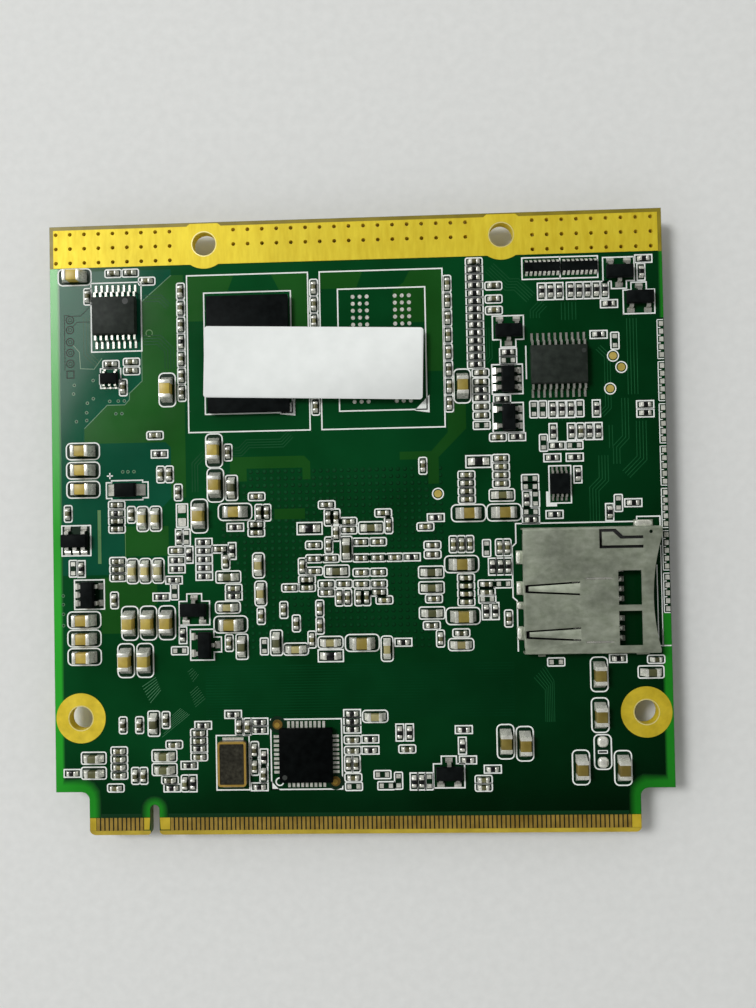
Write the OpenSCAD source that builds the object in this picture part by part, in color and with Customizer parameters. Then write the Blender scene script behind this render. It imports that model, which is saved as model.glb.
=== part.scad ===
// Edge-card computer module: a square circuit board with a gold cooling strip, a row of
// gold edge contacts, chips and chip parts on both sides and a push-push card socket.
// X runs across the board, Y from the contact edge to the cooling edge, Z up.
// The module lies on the lid of the processor on its underside, at z = 0.

/* [Board] */
// Width of the board
board_w = 70; // [64:0.5:84]
// Length of the board, from the contact edge to the cooling edge
board_l = 70; // [64:0.5:84]
// Thickness of the board
board_t = 1.2; // [0.8:0.1:2]
// Width of the contact tongue
tongue_w = 62.3; // [61:0.1:66]
// Depth of the contact tongue
tongue_d = 5; // [4.6:0.1:6]
// Fillet between the tongue and the board
tongue_fillet = 0.9; // [0.3:0.1:1.5]
// Radius on the outer corners of the tongue
tongue_round = 0.6; // [0.2:0.1:0.9]
// Length of the bevel on the contact edge
bevel_l = 0.6; // [0.2:0.1:0.9]
// Depth of the bevel on each face
bevel_d = 0.3; // [0.1:0.05:0.35]

/* [Key notch] */
// Place of the key notch across the tongue
key_x = -23.65; // [-24:0.05:-23.4]
// Width of the key notch
key_w = 1.05; // [0.8:0.05:1.4]
// Depth of the key notch
key_d = 3.5; // [2.5:0.1:4]
// Radius at the mouth of the key notch
key_round = 0.45; // [0.2:0.05:0.6]

/* [Edge contacts] */
// Pitch of the edge contacts
finger_pitch = 0.5; // [0.45:0.05:0.8]
// Width of an edge contact
finger_w = 0.34; // [0.25:0.01:0.4]
// Length of an edge contact
finger_l = 1.45; // [1:0.05:1.6]
// Bare margin at the left end of the contacts
finger_left = 1; // [0.6:0.05:2]
// Bare margin at the right end of the contacts
finger_right = 1.3; // [0.6:0.05:2]
// Bare margin to the left of the key notch
key_left = 1.5; // [1:0.05:2]
// Bare margin to the right of the key notch
key_right = 2; // [1:0.05:2.5]
// Thickness of the plated copper
copper_t = 0.05; // [0.03:0.01:0.1]

/* [Mounting holes] */
// Diameter of the mounting holes
hole_d = 2.7; // [2.2:0.1:3.2]
// Spacing of the two holes in the cooling strip
hole_top_gap = 34; // [30:0.5:36]
// Distance of the upper holes from the cooling edge
hole_top_in = 2.5; // [2.2:0.1:2.8]
// Distance of the lower holes from the side edges
hole_low_in = 3; // [2.6:0.1:3.4]
// Height of the lower holes against the board's centre
hole_low_y = -21.6; // [-22:0.1:-21]
// Diameter of the gold land around each hole
land_d = 5.7; // [5:0.1:6.6]
// Margin that the lands keep from the board's edge
land_edge = 0.15; // [0.05:0.05:0.4]

/* [Cooling strip] */
// Width of the strip across the short side
strip_h = 4.4; // [3.6:0.1:4.6]
// Bare margin around the strip
strip_edge = 0.45; // [0.3:0.05:0.7]
// Diameter of the heat vias
via_d = 0.45; // [0.3:0.05:0.6]
// Pitch of the heat vias
via_pitch = 1.66; // [1.3:0.02:2]
// Distance of the first via row from the strip's edge
via_in = 0.5; // [0.4:0.05:0.6]

/* [Chip parts] */
// Length of a small chip part
small_l = 1; // [0.9:0.05:1.1]
// Width of a small chip part
small_w = 0.5; // [0.4:0.05:0.6]
// Height of a small capacitor
small_h = 0.5; // [0.3:0.05:0.6]
// Length of a middle chip part
mid_l = 1.6; // [1.5:0.05:1.75]
// Width of a middle chip part
mid_w = 0.8; // [0.7:0.05:0.95]
// Height of a middle chip part
mid_h = 0.8; // [0.4:0.05:1]
// Length of a large capacitor
large_l = 2; // [1.8:0.05:2.2]
// Width of a large capacitor
large_w = 1.25; // [1.1:0.05:1.4]
// Height of a large capacitor
large_h = 1.25; // [0.8:0.05:1.4]
// Height of a resistor
res_h = 0.35; // [0.25:0.05:0.5]
// Thickness of the end plating
plate_t = 0.04; // [0.02:0.01:0.08]
// Length of the end plating on a small part
small_end = 0.25; // [0.15:0.05:0.3]
// Length of the end plating on a middle part
mid_end = 0.35; // [0.2:0.05:0.45]
// Length of the end plating on a large capacitor
large_end = 0.4; // [0.3:0.05:0.6]
// Reach of the solder fillet in front of a small part
small_toe = 0.2; // [0.1:0.05:0.3]
// Reach of the solder fillet in front of a middle part
mid_toe = 0.4; // [0.2:0.05:0.45]
// Reach of the solder fillet in front of a large capacitor
large_toe = 0.45; // [0.3:0.05:0.65]

/* [Leaded chips] */
// Pitch of the leads on the thin logic chips
lead_pitch = 0.65; // [0.6:0.01:0.72]
// Width of those leads
lead_w = 0.24; // [0.18:0.02:0.3]
// Thickness of the lead metal
lead_t = 0.13; // [0.1:0.01:0.16]
// Width of the logic chips' bodies
logic_w = 4.4; // [4:0.1:4.6]
// Height of the logic chips
logic_h = 1.1; // [0.9:0.05:1.3]
// Reach of the logic chips' leads
logic_reach = 1.45; // [1:0.05:1.6]
// Length of the transistor bodies
sot_l = 3; // [2.7:0.05:3.1]
// Width of the transistor bodies
sot_w = 1.5; // [1.3:0.05:1.7]
// Height of the transistors
sot_h = 1.05; // [0.9:0.05:1.3]
// Reach of the transistors' leads
sot_reach = 0.75; // [0.5:0.05:0.85]
// Gap between a body and the board
body_lift = 0.1; // [0.05:0.01:0.15]

/* [Memory chips] */
// Width of a memory chip
mem_w = 9.3; // [9:0.1:10.2]
// Length of a memory chip
mem_l = 13.3; // [13:0.1:14]
// Thickness of a memory chip
mem_t = 0.8; // [0.6:0.05:1]
// Pitch of the memory balls
mem_pitch = 0.8; // [0.7:0.05:0.84]
// Diameter of a memory ball
mem_ball = 0.45; // [0.35:0.05:0.5]
// Height of the memory balls
mem_stand = 0.3; // [0.2:0.05:0.4]
// Length of the blank label across the memory sites
label_l = 24.8; // [20:0.1:25]
// Height of the label
label_w = 8.1; // [6:0.1:9]
// Thickness of the label
label_t = 0.08; // [0.05:0.01:0.15]
// Turn of the label
label_turn = -1.9; // [-3:0.1:0]

/* [Hub chip] */
// Side of the square flat chip
hub_w = 6; // [5.6:0.1:6.2]
// Height of the square flat chip
hub_h = 0.85; // [0.7:0.05:1]
// Pitch of its lands
hub_pitch = 0.5; // [0.45:0.01:0.55]
// Width of one land
hub_land_w = 0.3; // [0.2:0.02:0.34]
// How far the lands stand out beyond the chip
hub_toe = 0.7; // [0.4:0.05:0.9]
// Solder height under the flat chips
land_h = 0.08; // [0.05:0.01:0.12]

/* [Crystal and tantalum] */
// Width of the crystal
xtal_w = 3.2; // [3:0.1:3.4]
// Length of the crystal
xtal_l = 5; // [4.6:0.1:5.2]
// Height of the crystal's ceramic base
xtal_base_h = 0.55; // [0.4:0.05:0.7]
// Height of the crystal's lid above the base
xtal_lid_h = 0.3; // [0.2:0.05:0.5]
// Width of the gold rim around the lid
xtal_rim = 0.22; // [0.15:0.01:0.3]
// Length of the tantalum capacitor
tant_l = 2.6; // [2.4:0.1:3.4]
// Width of the tantalum capacitor
tant_w = 1.6; // [1.4:0.1:1.8]
// Height of the tantalum capacitor
tant_h = 1.2; // [1:0.1:1.8]

/* [Card socket] */
// Width of the socket across the card
sock_w = 14; // [13.8:0.1:14.6]
// Depth of the socket along the card
sock_d = 15.3; // [15:0.1:16]
// Height of the socket
sock_h = 1.75; // [1.7:0.05:2]
// Distance of the socket's mouth from the board's edge
sock_in = 1.25; // [0.8:0.05:2]
// Place of the socket's middle along the edge
sock_y = -7.8; // [-8:0.05:-7.5]
// Thickness of the shell's sheet
sheet_t = 0.2; // [0.15:0.01:0.22]
// Outer radius of the shell's bends
bend_r = 0.35; // [0.3:0.05:0.5]
// Travel of the card slider
slide_travel = 3.5; // [2.5:0.1:3.6]
// Running clearance around the slider
run_gap = 0.08; // [0.05:0.01:0.1]
// Thickness of the socket's floor
floor_t = 0.35; // [0.25:0.05:0.4]
// Width of a card contact
card_contact_w = 0.6; // [0.4:0.05:0.7]
// Pitch of the card contacts
card_pitch = 1.1; // [1:0.02:1.14]
// Thickness of the contact strip
strip_t = 0.12; // [0.1:0.01:0.15]
// Diameter of the cam pin's wire
cam_wire = 0.25; // [0.2:0.01:0.28]
// Outer diameter of the slider spring
coil_d = 0.66; // [0.56:0.02:0.68]
// Diameter of the spring wire
coil_wire = 0.12; // [0.08:0.01:0.14]
// Turns of the slider spring
coil_turns = 11; // [8:1:14]

/* [Processor side] */
// Side of the processor's substrate
proc_w = 21; // [20:0.1:22]
// Thickness of the processor's substrate
proc_sub_t = 0.8; // [0.6:0.05:1]
// Side of the processor's lid
proc_lid_w = 19; // [17:0.1:19.6]
// Thickness of the processor's lid
proc_lid_t = 1; // [0.9:0.05:1.4]
// Height of the processor's balls
proc_stand = 0.4; // [0.3:0.05:0.5]
// Diameter of a processor ball
proc_ball = 0.5; // [0.4:0.02:0.56]
// Pitch of the processor balls
proc_pitch = 0.8; // [0.7:0.05:0.85]
// Side of a power inductor
coil_box_w = 4; // [3.6:0.1:4.4]
// Height of a power inductor
coil_box_h = 1.8; // [1.4:0.1:1.9]
// Width of the storage chip
store_w = 11.5; // [11:0.1:12]
// Length of the storage chip
store_l = 13; // [12:0.1:13.5]
// Side of the power-control chip
power_w = 8; // [7:0.1:8.2]
// Side of the network chip
net_w = 7; // [6:0.1:7.2]

/* [Hidden] */
$fn = 48;
z_bot = proc_stand + proc_sub_t + proc_lid_t;
z_top = z_bot + board_t;
edge_x = board_w / 2;
edge_y = board_l / 2;
step_y = -edge_y + tongue_d;
tongue_x = tongue_w / 2;
hole_top_y = edge_y - hole_top_in;
hole_low_x = edge_x - hole_low_in;
strip_x = edge_x - strip_edge;
strip_y1 = edge_y - strip_edge;
strip_y0 = strip_y1 - strip_h;
fillet_r = min(tongue_fillet, edge_x - tongue_x);
eps = 0.01;

// The places below are laid out on a board of this half width and between these two edges
// of its free face. On another board they follow it: what stands beside the card socket
// keeps its distance from the socket and its side, and the rest spreads evenly.
plan_x = 35;
plan_top = 30.15;
plan_low = -30;
// Left end of the zone beside the socket, and the socket's upper and lower ends
plan_split = 13.2;
plan_sock_top = -0.1;
plan_sock_low = -15.4;
side_shift = edge_x - plan_x;
spread_x = (plan_split + side_shift + edge_x) / (plan_split + plan_x);
spread_y = (strip_y0 - step_y) / (plan_top - plan_low);
sock_shift = strip_y0 - (plan_top - plan_sock_top) * spread_y - plan_sock_top;
spread_low = (plan_sock_low + sock_shift - step_y) / (plan_sock_low - plan_low);

function lay_x(x) = x > plan_split ? x + side_shift : -edge_x + (x + plan_x) * spread_x;
function lay_y(x, y) =
  x <= plan_split || y > plan_sock_top ? strip_y0 - (plan_top - y) * spread_y
  : y > plan_sock_low ? y + sock_shift : step_y + (y - plan_low) * spread_low;
function lay(x, y, z) = [lay_x(x), lay_y(x, y), z];
hole_y = lay_y(plan_x, hole_low_y);

// Places of the parts on the upper face: x, y, turn, count, step in x, step in y
cap_small_top = [
  [-27.6, 29.4, 0, 2, 2, 0], [-23.7, 28.4, 0], [-30.6, 26.8, 90], [-28, 18.9, 0],
  [-25.6, 19.1, 0, 2, 0, -1], [-19.8, 27.1, 90, 3, 0, -1.95], [-19.8, 19.3, 90, 3, 0, -1.95],
  [-26.6, 16.2, 90], [-4.45, 27.1, 90, 8, 0, -1.95], [10.75, 27.1, 90, 8, 0, -1.95],
  [13.85, 29.5, 0], [16, 26.7, 0], [16, 25.2, 0, 2, 0, -1.3], [14.35, 16.85, 0, 2, 0, -1.05],
  [14.35, 13, 0, 2, 0, -1], [16.15, 9.5, 0], [-23, 10.6, 0], [-22.4, 6.1, 90, 2, 1, 0],
  [-20.4, 4, 90], [-33.2, 1.8, 90], [-27.55, 2.7, 0], [-27.55, 0.85, 0, 2, 0, -0.9],
  [-25.85, 1.55, 90], [-14.6, 8.45, 90], [-11.4, 3.35, 0], [-11.15, 1.5, 90, 2, 0.9, 0],
  [-11.5, 0.15, 0, 2, 0, -0.9], [-3.4, 2.25, 0], [-3.25, 0.8, 90, 2, 0.9, 0],
  [-0.95, 0.3, 0, 2, 0, -0.95], [7.6, 6.45, 90], [3, 1.2, 0], [16.4, 7.1, 0, 4, 0, -0.95],
  [12.5, 5.3, 0, 4, 0, -0.92], [25.4, 9.95, 90], [-27.95, -8.2, 90],
  [-27.5, -3.75, 0, 3, 0, -0.92], [-20.7, -2.65, 0], [-15.7, -2.55, 0], [-15.05, -3.95, 90],
  [-14.2, -7.05, 0], [-14.8, -13.25, 90], [-11.1, -10.25, 90], [-8.5, -9.6, 90],
  [-7.1, -11.15, 90], [-5.35, -13, 90], [-4.4, -9.5, 90, 2, 0, -1.95], [-4.95, -2.3, 0],
  [-3.25, -2.35, 90], [-2.4, -0.95, 90], [-4.95, -3.85, 0, 2, 1.9, 0], [-6.3, -4.7, 90],
  [-4.95, -5.25, 0], [-5.8, -6.2, 0], [-7.75, -7.1, 0, 2, 1.95, 0], [-3.6, -6.75, 0, 2, 2, 0],
  [-3.6, -7.7, 0], [-2.15, -8.3, 90, 2, 0.95, 0], [0.05, -8.3, 90, 2, 0.9, 0],
  [3.6, -0.2, 90], [7.75, -0.45, 0], [0.4, -2.05, 0, 2, 1.95, 0], [0.4, -3.85, 0, 3, 1.9, 0],
  [0.4, -5.5, 0, 2, 1.95, 0], [0.4, -6.8, 0, 2, 1.95, 0], [2.35, -7.75, 0], [2.95, -8.65, 0],
  [8.5, -2.55, 0, 2, 0, -1.05], [10.85, -2.5, 90, 3, 0.93, 0], [8.55, -8.6, 0],
  [8.25, -11.6, 0], [9.2, -13.1, 90], [12.2, -6.3, 0, 4, 0, -0.9], [11.55, -12.5, 0],
  [16.05, -2.95, 90, 2, 0.85, 0], [14.5, -7.05, 0, 2, 0, -0.9], [16.9, -10.95, 90],
  [33.2, -15.75, 0], [-27.15, -22.45, 90, 2, 1.9, 0], [-22.2, -21.9, 90], [-21.3, -24.7, 0],
  [-21.85, -28.7, 0], [-20.1, -29.1, 90], [-18.45, -23.4, 0, 2, 0, -0.88], [-18.45, -26.1, 0],
  [-27.65, -25.35, 0, 4, 0, -0.92], [-28.1, -29.55, 0], [-25.8, -28.2, 90, 2, 0.95, 0],
  [-13.8, -22.75, 90, 2, 0.95, 0], [-12.1, -25.4, 90, 2, 0, -1.9], [-11.1, -28.15, 90],
  [-0.95, -24.35, 0, 2, 0, -1.2], [-1.45, -27.05, 90, 2, 0.85, 0], [-0.95, -28.6, 0],
  [5.2, -25.45, 0], [13.7, -28.95, 0, 2, 0, -0.85]
];
cap_mid_top = [
  [-24.55, 1.05, 90, 2, 1.5, 0], [-25.8, -4.9, 90, 3, 1.48, 0], [-11.3, -4.5, 90],
  [-11.1, -7.7, 90], [-14.9, -9.2, 0], [-7.2, -14.05, 0], [-3.25, -13.35, 0],
  [3.15, -14.15, 90], [11.5, -13.8, 0], [1.65, -21.75, 0]
];
cap_large_top = [
  [-32.1, 29.1, 0], [-21.5, 15.8, 90], [-31.4, 8.95, 0, 3, 0, -2.2], [-18, 1.25, 90],
  [-16.2, 8.7, 90], [-16.1, 4.75, 90], [-13.9, 1.65, 0], [12.25, 15.4, 90],
  [12.65, 1, 0, 2, 4, 0], [-31.5, -10.4, 0, 3, 0, -2.1], [-26.2, -10.85, 90, 3, 2.15, 0],
  [-26.7, -15.1, 90, 2, 2.2, 0], [-14.6, -11.15, 0], [11.75, -4.75, 0], [11.8, -10.6, 0],
  [0.35, -13.45, 0], [16.25, -24.75, 90], [18.4, -25, 90], [26.85, -17.35, 90],
  [26.85, -21.9, 90], [24.6, -27.7, 90], [29.25, -27.8, 90]
];
bead_top = [
  [16.45, 2.95, 0], [1.6, -0.45, 0], [-1.25, -2.8, 90], [-2.4, -5.3, 0],
  [8.3, -5.6, 0, 2, 0, -1.75], [8.3, -10.2, 0], [-14.8, -5.75, 0], [-13.35, -13.7, 90],
  [-9.4, -13.3, 90], [-23.6, -22.3, 90], [-22.45, -25.95, 0, 2, 0, -1.55],
  [-30.6, -26.15, 0, 2, 0, -1.7], [-14.25, 4.4, 90], [32.6, -17.15, 0]
];
res_small_top = [
  [-19.8, 21.25, 90], [13.85, 28.6, 0, 13, 0, -0.9], [17.5, 19.1, 0], [32.9, 29.3, 0],
  [32.6, 27.8, 90], [21.4, 25.9, 90, 3, 1, 0], [24.65, 25.9, 90, 5, 0.96, 0], [28.95, 24.3, 0],
  [27.7, 20.85, 0], [14.35, 14.9, 0, 2, 0, -0.9], [16.7, 13.8, 0], [18.3, 9.5, 0],
  [-22.5, 8.45, 0], [-27.55, 1.75, 0], [22.35, 12.5, 90, 3, 1.02, 0], [27.25, 12.5, 90],
  [32.7, 12.8, 0, 2, 0, -0.95], [22.35, 9.95, 90], [24.4, 9.95, 90], [26.4, 9.95, 90, 2, 1, 0],
  [22.7, 8.4, 0], [22.2, 7.05, 0, 2, 2.5, 0], [25, 5.1, 90], [19.2, 2.4, 90], [19.65, 0.1, 0],
  [22.3, 0.65, 0], [28.45, 0.8, 90], [31.1, 1.8, 0], [8.95, 0.55, 0], [-31.75, -4.55, 90],
  [-20.35, -1.15, 90], [-20.7, -3.75, 0, 2, 0, -1], [-19.25, -3.15, 90], [-21.05, -6, 0],
  [-22.55, -7.9, 0], [-17.55, -1.75, 0, 5, 0, -0.97], [-20.1, -12.3, 90], [-13.9, -0.1, 0],
  [-14.3, -2.8, 90], [-14.2, -7.95, 0], [6.15, -3.85, 0], [15.2, -5.1, 90, 3, 0.88, 0],
  [14.4, -10.1, 90, 2, 1, 0], [5, -13.45, 0], [29, -15.6, 0], [-33.1, -27.85, 0],
  [-21.6, -29.6, 0], [-19.2, -29.1, 90], [-19.6, -27.05, 0], [-18.45, -25.15, 0],
  [-17.95, -22.55, 0], [-14.5, -21.35, 0], [-11.5, -22.25, 0, 2, 0, -0.9], [-11.05, -26.25, 90],
  [-11.6, -29.55, 0], [-0.95, -21.4, 0, 3, 0, -0.88], [1.05, -24.3, 0, 2, 0, -1.25],
  [4.4, -23.6, 90, 2, 1.1, 0], [5.9, -29.1, 90, 2, 0.85, 0], [11.6, -23.35, 0],
  [11.4, -25.15, 90], [12, -26.75, 0], [14.75, -27.8, 0]
];
res_mid_top = [[13.9, 6.8, 0], [-5.4, -0.4, 0], [-3.25, -14.85, 0]];

// Empty footprints on the upper face: x, y, turn
bare_small_top = [
  [17.5, 18.2, 0], [29.5, 20.1, 90], [14.35, 10.9, 0], [20.25, 12.55, 90, 2, 1, 0],
  [25.4, 12.55, 90], [21.25, 8.75, 90], [24.7, 8.4, 0], [19.65, 4.75, 0, 2, 0, -0.9],
  [20.2, 2.45, 90], [19.65, 1, 0], [29.45, 1.8, 90], [-32.7, -4.5, 90], [-19.55, -1.15, 90],
  [-21, -7.3, 90], [-20.5, -14.05, 0], [-10.8, -13.7, 90], [14.6, -3, 90], [16.4, -7.05, 0],
  [14.55, -8.75, 0], [22.1, -15.9, 0], [-0.9, -29.6, 0], [2.35, -28.3, 0], [2.75, -29.55, 0],
  [4.15, -29, 90], [7.6, -29.1, 90]
];
bare_large_top = [[-20, 1.35, 90, 0.75, 0.45, 0.1], [27.05, -26, 90, 1.15, 0.6, 0.5]];

// Three-lead parts: x, y, turn
sot3_top = [
  [17.55, 21.5, 180], [30.1, 27.8, 180], [32.3, 24.85, 0], [-18.75, -9.4, 0],
  [-17.5, -13.4, 270], [9.85, -28.1, 0]
];
// Five and six lead parts: x, y, turn, places on the near side, places on the far side
sot5_top = [
  [-32.3, -1.3, 0, [-1, 0, 1], [-1, 1]], [-30.85, -7.5, 270, [-1, 0, 1], [-1, 1]],
  [17.35, 16.05, 90, [-1, 0, 1], [-1, 0, 1]], [17.35, 11.7, 90, [-1, 0, 1], [-1, 1]]
];

// Parts on the processor side
cap_large_low = [[-17.5, -6, 90, 3, 0, -3.6], [-30, -6, 90, 3, 0, -3.6]];
coil_box_low = [[-22, 2, 0, 2, 0, 5.6], [-28.5, 2, 0, 2, 0, 5.6], [-18, -20.5, 0, 2, -5.8, 0]];
memory_top = [-12, 19.55];
memory_spare = [3.2, 19.9];
proc_at = [-2, -3.7];
store_at = [22.5, -9];
power_at = [-24, -10];
net_at = [22, 21];
flash_at = [22, 6.5];
hub_at = [-6.2, -25.9];
xtal_at = [-14.55, -26.75];
tant_at = [-26.3, 4.4];
array_at = [[21.5, 28.6], [25.7, 28.6]];
logic_a_at = [-27.3, 24.35];
logic_b_at = [23.1, 17.5];
prom_at = [22.9, 4.1];
tiny_at = [-28.05, 17.2];

// Value of a run, or a default where the run is short
function run_count(r) = len(r) > 3 ? r[3] : 1;
function run_dx(r) = len(r) > 4 ? r[4] : 0;
function run_dy(r) = len(r) > 5 ? r[5] : 0;

// Puts the children at every place of a list of runs on the upper face
module on_top(runs) {
  for (r = runs, i = [0 : run_count(r) - 1])
    translate(lay(r[0] + i * run_dx(r), r[1] + i * run_dy(r), z_top))
      rotate(r[2]) children();
}

// The same on the processor side, with the children hanging down
module on_low(runs) {
  for (r = runs, i = [0 : run_count(r) - 1])
    translate(lay(r[0] + i * run_dx(r), r[1] + i * run_dy(r), z_bot))
      rotate(r[2]) mirror([0, 0, 1]) children();
}

module at_top(p, turn = 0) {
  translate(lay(p[0], p[1], z_top)) rotate(turn) children();
}

module at_low(p, turn = 0) {
  translate(lay(p[0], p[1], z_bot)) rotate(turn) mirror([0, 0, 1]) children();
}

// A block that stands on z = 0 about its own middle
module block(l, w, h) {
  translate([-l / 2, -w / 2, 0]) cube([l, w, h]);
}

// A plate with round corners, built from blocks and corner cylinders
module round_plate(l, w, h, r) {
  block(l - 2 * r, w, h);
  block(l, w - 2 * r, h);
  for (x = [-1, 1], y = [-1, 1])
    translate([x * (l / 2 - r), y * (w / 2 - r), 0]) cylinder(r = r, h = h);
}

// What a fillet of radius r leaves of a square corner
module corner_web(r, h) {
  difference() {
    cube([r, r, h]);
    translate([r, r, -eps]) cylinder(r = r, h = h + 2 * eps);
  }
}

// Circuit board with its tongue, notch, holes and heat vias
function steps_in(a, b, p) = floor((b - a) / p + 0.001);

module via_block(x0, x1, rows) {
  for (i = [0 : steps_in(x0, x1, via_pitch)], j = [0 : rows - 1])
    translate([x0 + i * via_pitch, strip_y1 - via_in - j * via_pitch, z_bot - 1])
      cylinder(d = via_d, h = board_t + 2, $fn = 16);
}

module heat_vias() {
  lobe = hole_top_gap / 2;
  via_block(-strip_x + 0.3, -lobe - land_d / 2 - 1, 3);
  via_block(-lobe + land_d / 2 + 0.55, lobe - land_d / 2 - 0.5, 2);
  via_block(lobe + land_d / 2 + 0.65, strip_x - 0.6, 3);
}

module mount_holes() {
  for (s = [-1, 1]) {
    translate([s * hole_top_gap / 2, hole_top_y, z_bot - 1])
      cylinder(d = hole_d, h = board_t + 2);
    translate([s * hole_low_x, hole_y, z_bot - 1])
      cylinder(d = hole_d, h = board_t + 2);
  }
}

module key_cut() {
  translate([key_x, -edge_y, z_bot - 1]) {
    translate([-key_w / 2, -1, 0]) cube([key_w, 1 + key_d - key_w / 2, board_t + 2]);
    translate([0, key_d - key_w / 2, 0]) cylinder(d = key_w, h = board_t + 2);
    for (s = [0, 1]) mirror([s, 0, 0])
      translate([key_w / 2 - eps, -eps, 0]) corner_cut(key_round, board_t + 2);
  }
}

// The sliver outside a rounded outer corner that points to -X and -Y
module corner_cut(r, h) {
  difference() {
    translate([-eps, -eps, 0]) cube([r + eps, r + eps, h]);
    translate([r, r, -eps]) cylinder(r = r, h = h + 2 * eps);
  }
}

module bevel_cut() {
  for (s = [0, 1])
    translate([-tongue_x - 1, -edge_y, s == 0 ? z_bot : z_top])
      mirror([0, 0, s]) rotate([90, 0, 90]) linear_extrude(tongue_w + 2)
        polygon([[-1, -1], [bevel_l, -1], [bevel_l, 0], [0, bevel_d], [-1, bevel_d]]);
}

module board() {
  color("darkgreen") difference() {
    union() {
      translate([-edge_x, step_y, z_bot]) cube([board_w, edge_y - step_y, board_t]);
      translate([-tongue_x, -edge_y, z_bot]) cube([tongue_w, tongue_d + 1, board_t]);
      for (s = [0, 1]) mirror([s, 0, 0])
        translate([tongue_x, step_y, z_bot]) mirror([0, 1, 0])
          corner_web(fillet_r, board_t);
    }
    for (s = [0, 1]) mirror([s, 0, 0])
      translate([-tongue_x, -edge_y, z_bot - 1]) corner_cut(tongue_round, board_t + 2);
    mount_holes();
    heat_vias();
    key_cut();
    bevel_cut();
  }
}

// Both faces carry the same plated copper, one plate above and one below
module both_faces() {
  translate([0, 0, z_top]) children();
  translate([0, 0, z_bot - copper_t]) children();
}

module land_window() {
  translate([-edge_x + land_edge, step_y, -1])
    cube([board_w - 2 * land_edge, edge_y - land_edge - step_y, copper_t + 2]);
}

module cooling_strips() {
  color("gold") difference() {
    both_faces() {
      translate([-strip_x, strip_y0, 0]) cube([2 * strip_x, strip_h, copper_t]);
      intersection() {
        for (s = [-1, 1]) translate([s * hole_top_gap / 2, hole_top_y, 0])
          cylinder(d = land_d, h = copper_t);
        land_window();
      }
    }
    mount_holes();
    heat_vias();
  }
}

module mount_lands() {
  color("gold") difference() {
    both_faces() intersection() {
      for (s = [-1, 1]) translate([s * hole_low_x, hole_y, 0])
        cylinder(d = land_d, h = copper_t);
      land_window();
    }
    mount_holes();
  }
}

module finger_row(x0, x1) {
  for (i = [0 : steps_in(x0, x1, finger_pitch)])
    translate([x0 + i * finger_pitch - finger_w / 2, -edge_y + bevel_l, 0])
      cube([finger_w, finger_l, copper_t]);
}

module edge_contacts() {
  color("goldenrod") both_faces() {
    finger_row(-tongue_x + finger_left, key_x - key_left);
    finger_row(key_x + key_right, tongue_x - finger_right);
  }
}

// Card socket. Its own frame has the mouth at x = 0 and the card going in towards -X
sock_x = edge_x - sock_in;
sock_back = -sock_d;
half_w = sock_w / 2;
inner_h = sock_h - sheet_t;
rail_y1 = half_w - sheet_t - run_gap;
rail_y0 = rail_y1 - 2.2;
hold_drop = 0.04;
slide_x1 = -2.1;
slide_l = 8;
slide_x0 = slide_x1 - slide_l;
slide_z0 = floor_t + run_gap;
slide_z1 = inner_h - run_gap - 0.06;
cam_y = rail_y0 + 0.55;
cam_z = inner_h - hold_drop - 0.01 - cam_wire / 2;
cam_tip_x = slide_x1 - slide_travel - 0.75;
cam_root_x = slide_x1 + 0.45;
cam_top = cam_z - cam_wire / 2 - run_gap;
cam_floor = cam_top - 0.35;
coil_y = rail_y1 - coil_d / 2 - 0.2;
coil_z = (slide_z0 + slide_z1) / 2;
coil_bore = coil_d / 2 + run_gap;
back_wall = 0.5;
coil_x0 = sock_back + sheet_t + back_wall;
coil_x1 = slide_x0 + 5;
card_y0 = -half_w + sheet_t + 0.3;
contact_y0 = -5.5;
tail_x = -3.95;
root_x = tail_x - 1.15;
beam_l = 4;

module sock_place() {
  translate([sock_x, sock_y + sock_shift, z_top]) children();
}

// Section across the card: a channel with round outer bends, open below
module shell_section() {
  difference() {
    union() {
      translate([-half_w, 0]) square([sock_w, sock_h - bend_r]);
      translate([-half_w + bend_r, 0]) square([sock_w - 2 * bend_r, sock_h]);
      for (s = [-1, 1]) translate([s * (half_w - bend_r), sock_h - bend_r]) circle(r = bend_r);
    }
    translate([-half_w + sheet_t, -1]) square([sock_w - 2 * sheet_t, inner_h + 1]);
  }
}

// A flat spring cut from the top plate: root at x1, tip at x0, bent down by drop
module pressed_spring(x0, x1, drop) {
  rotate([90, 0, 0]) linear_extrude(sock_w, center = true)
    polygon([[x1, inner_h], [x1, sock_h], [x0, sock_h - drop], [x0, inner_h - drop]]);
}

finger_root = -9.15;
finger_tip = sock_back + 0.55;
finger_ys = [0.25, -4.8];
finger_slit = 0.2;
finger_notch_w = 0.85;

module finger_plan(grow) {
  for (y = finger_ys) translate([0, y, 0]) linear_extrude(3)
    polygon([[finger_root, -0.57 - grow], [finger_tip - grow, -0.25 - grow],
      [finger_tip - grow, 0.25 + grow], [finger_root, 0.57 + grow]]);
}

hold_root = -2.1;
hold_tip = -6.6;
hold_slit = 0.32;
hold_y = cam_y + 0.25;

// Plan of the hold-down spring over the cam pin, wide at its tip
module hold_plan(grow) {
  linear_extrude(3) polygon([
    [hold_root, hold_y - 0.4 - grow], [hold_tip - grow, hold_y - 0.4 - grow],
    [hold_tip - grow, hold_y + 1.1 + grow], [hold_tip + 1.2 + grow, hold_y + 1.1 + grow],
    [hold_tip + 2 + grow, hold_y + 0.32 + grow], [hold_root, hold_y + 0.32 + grow]]);
}

scoop_r = 22.4;
scoop_d = 1.14;
scoop_y = -0.97;
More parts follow.
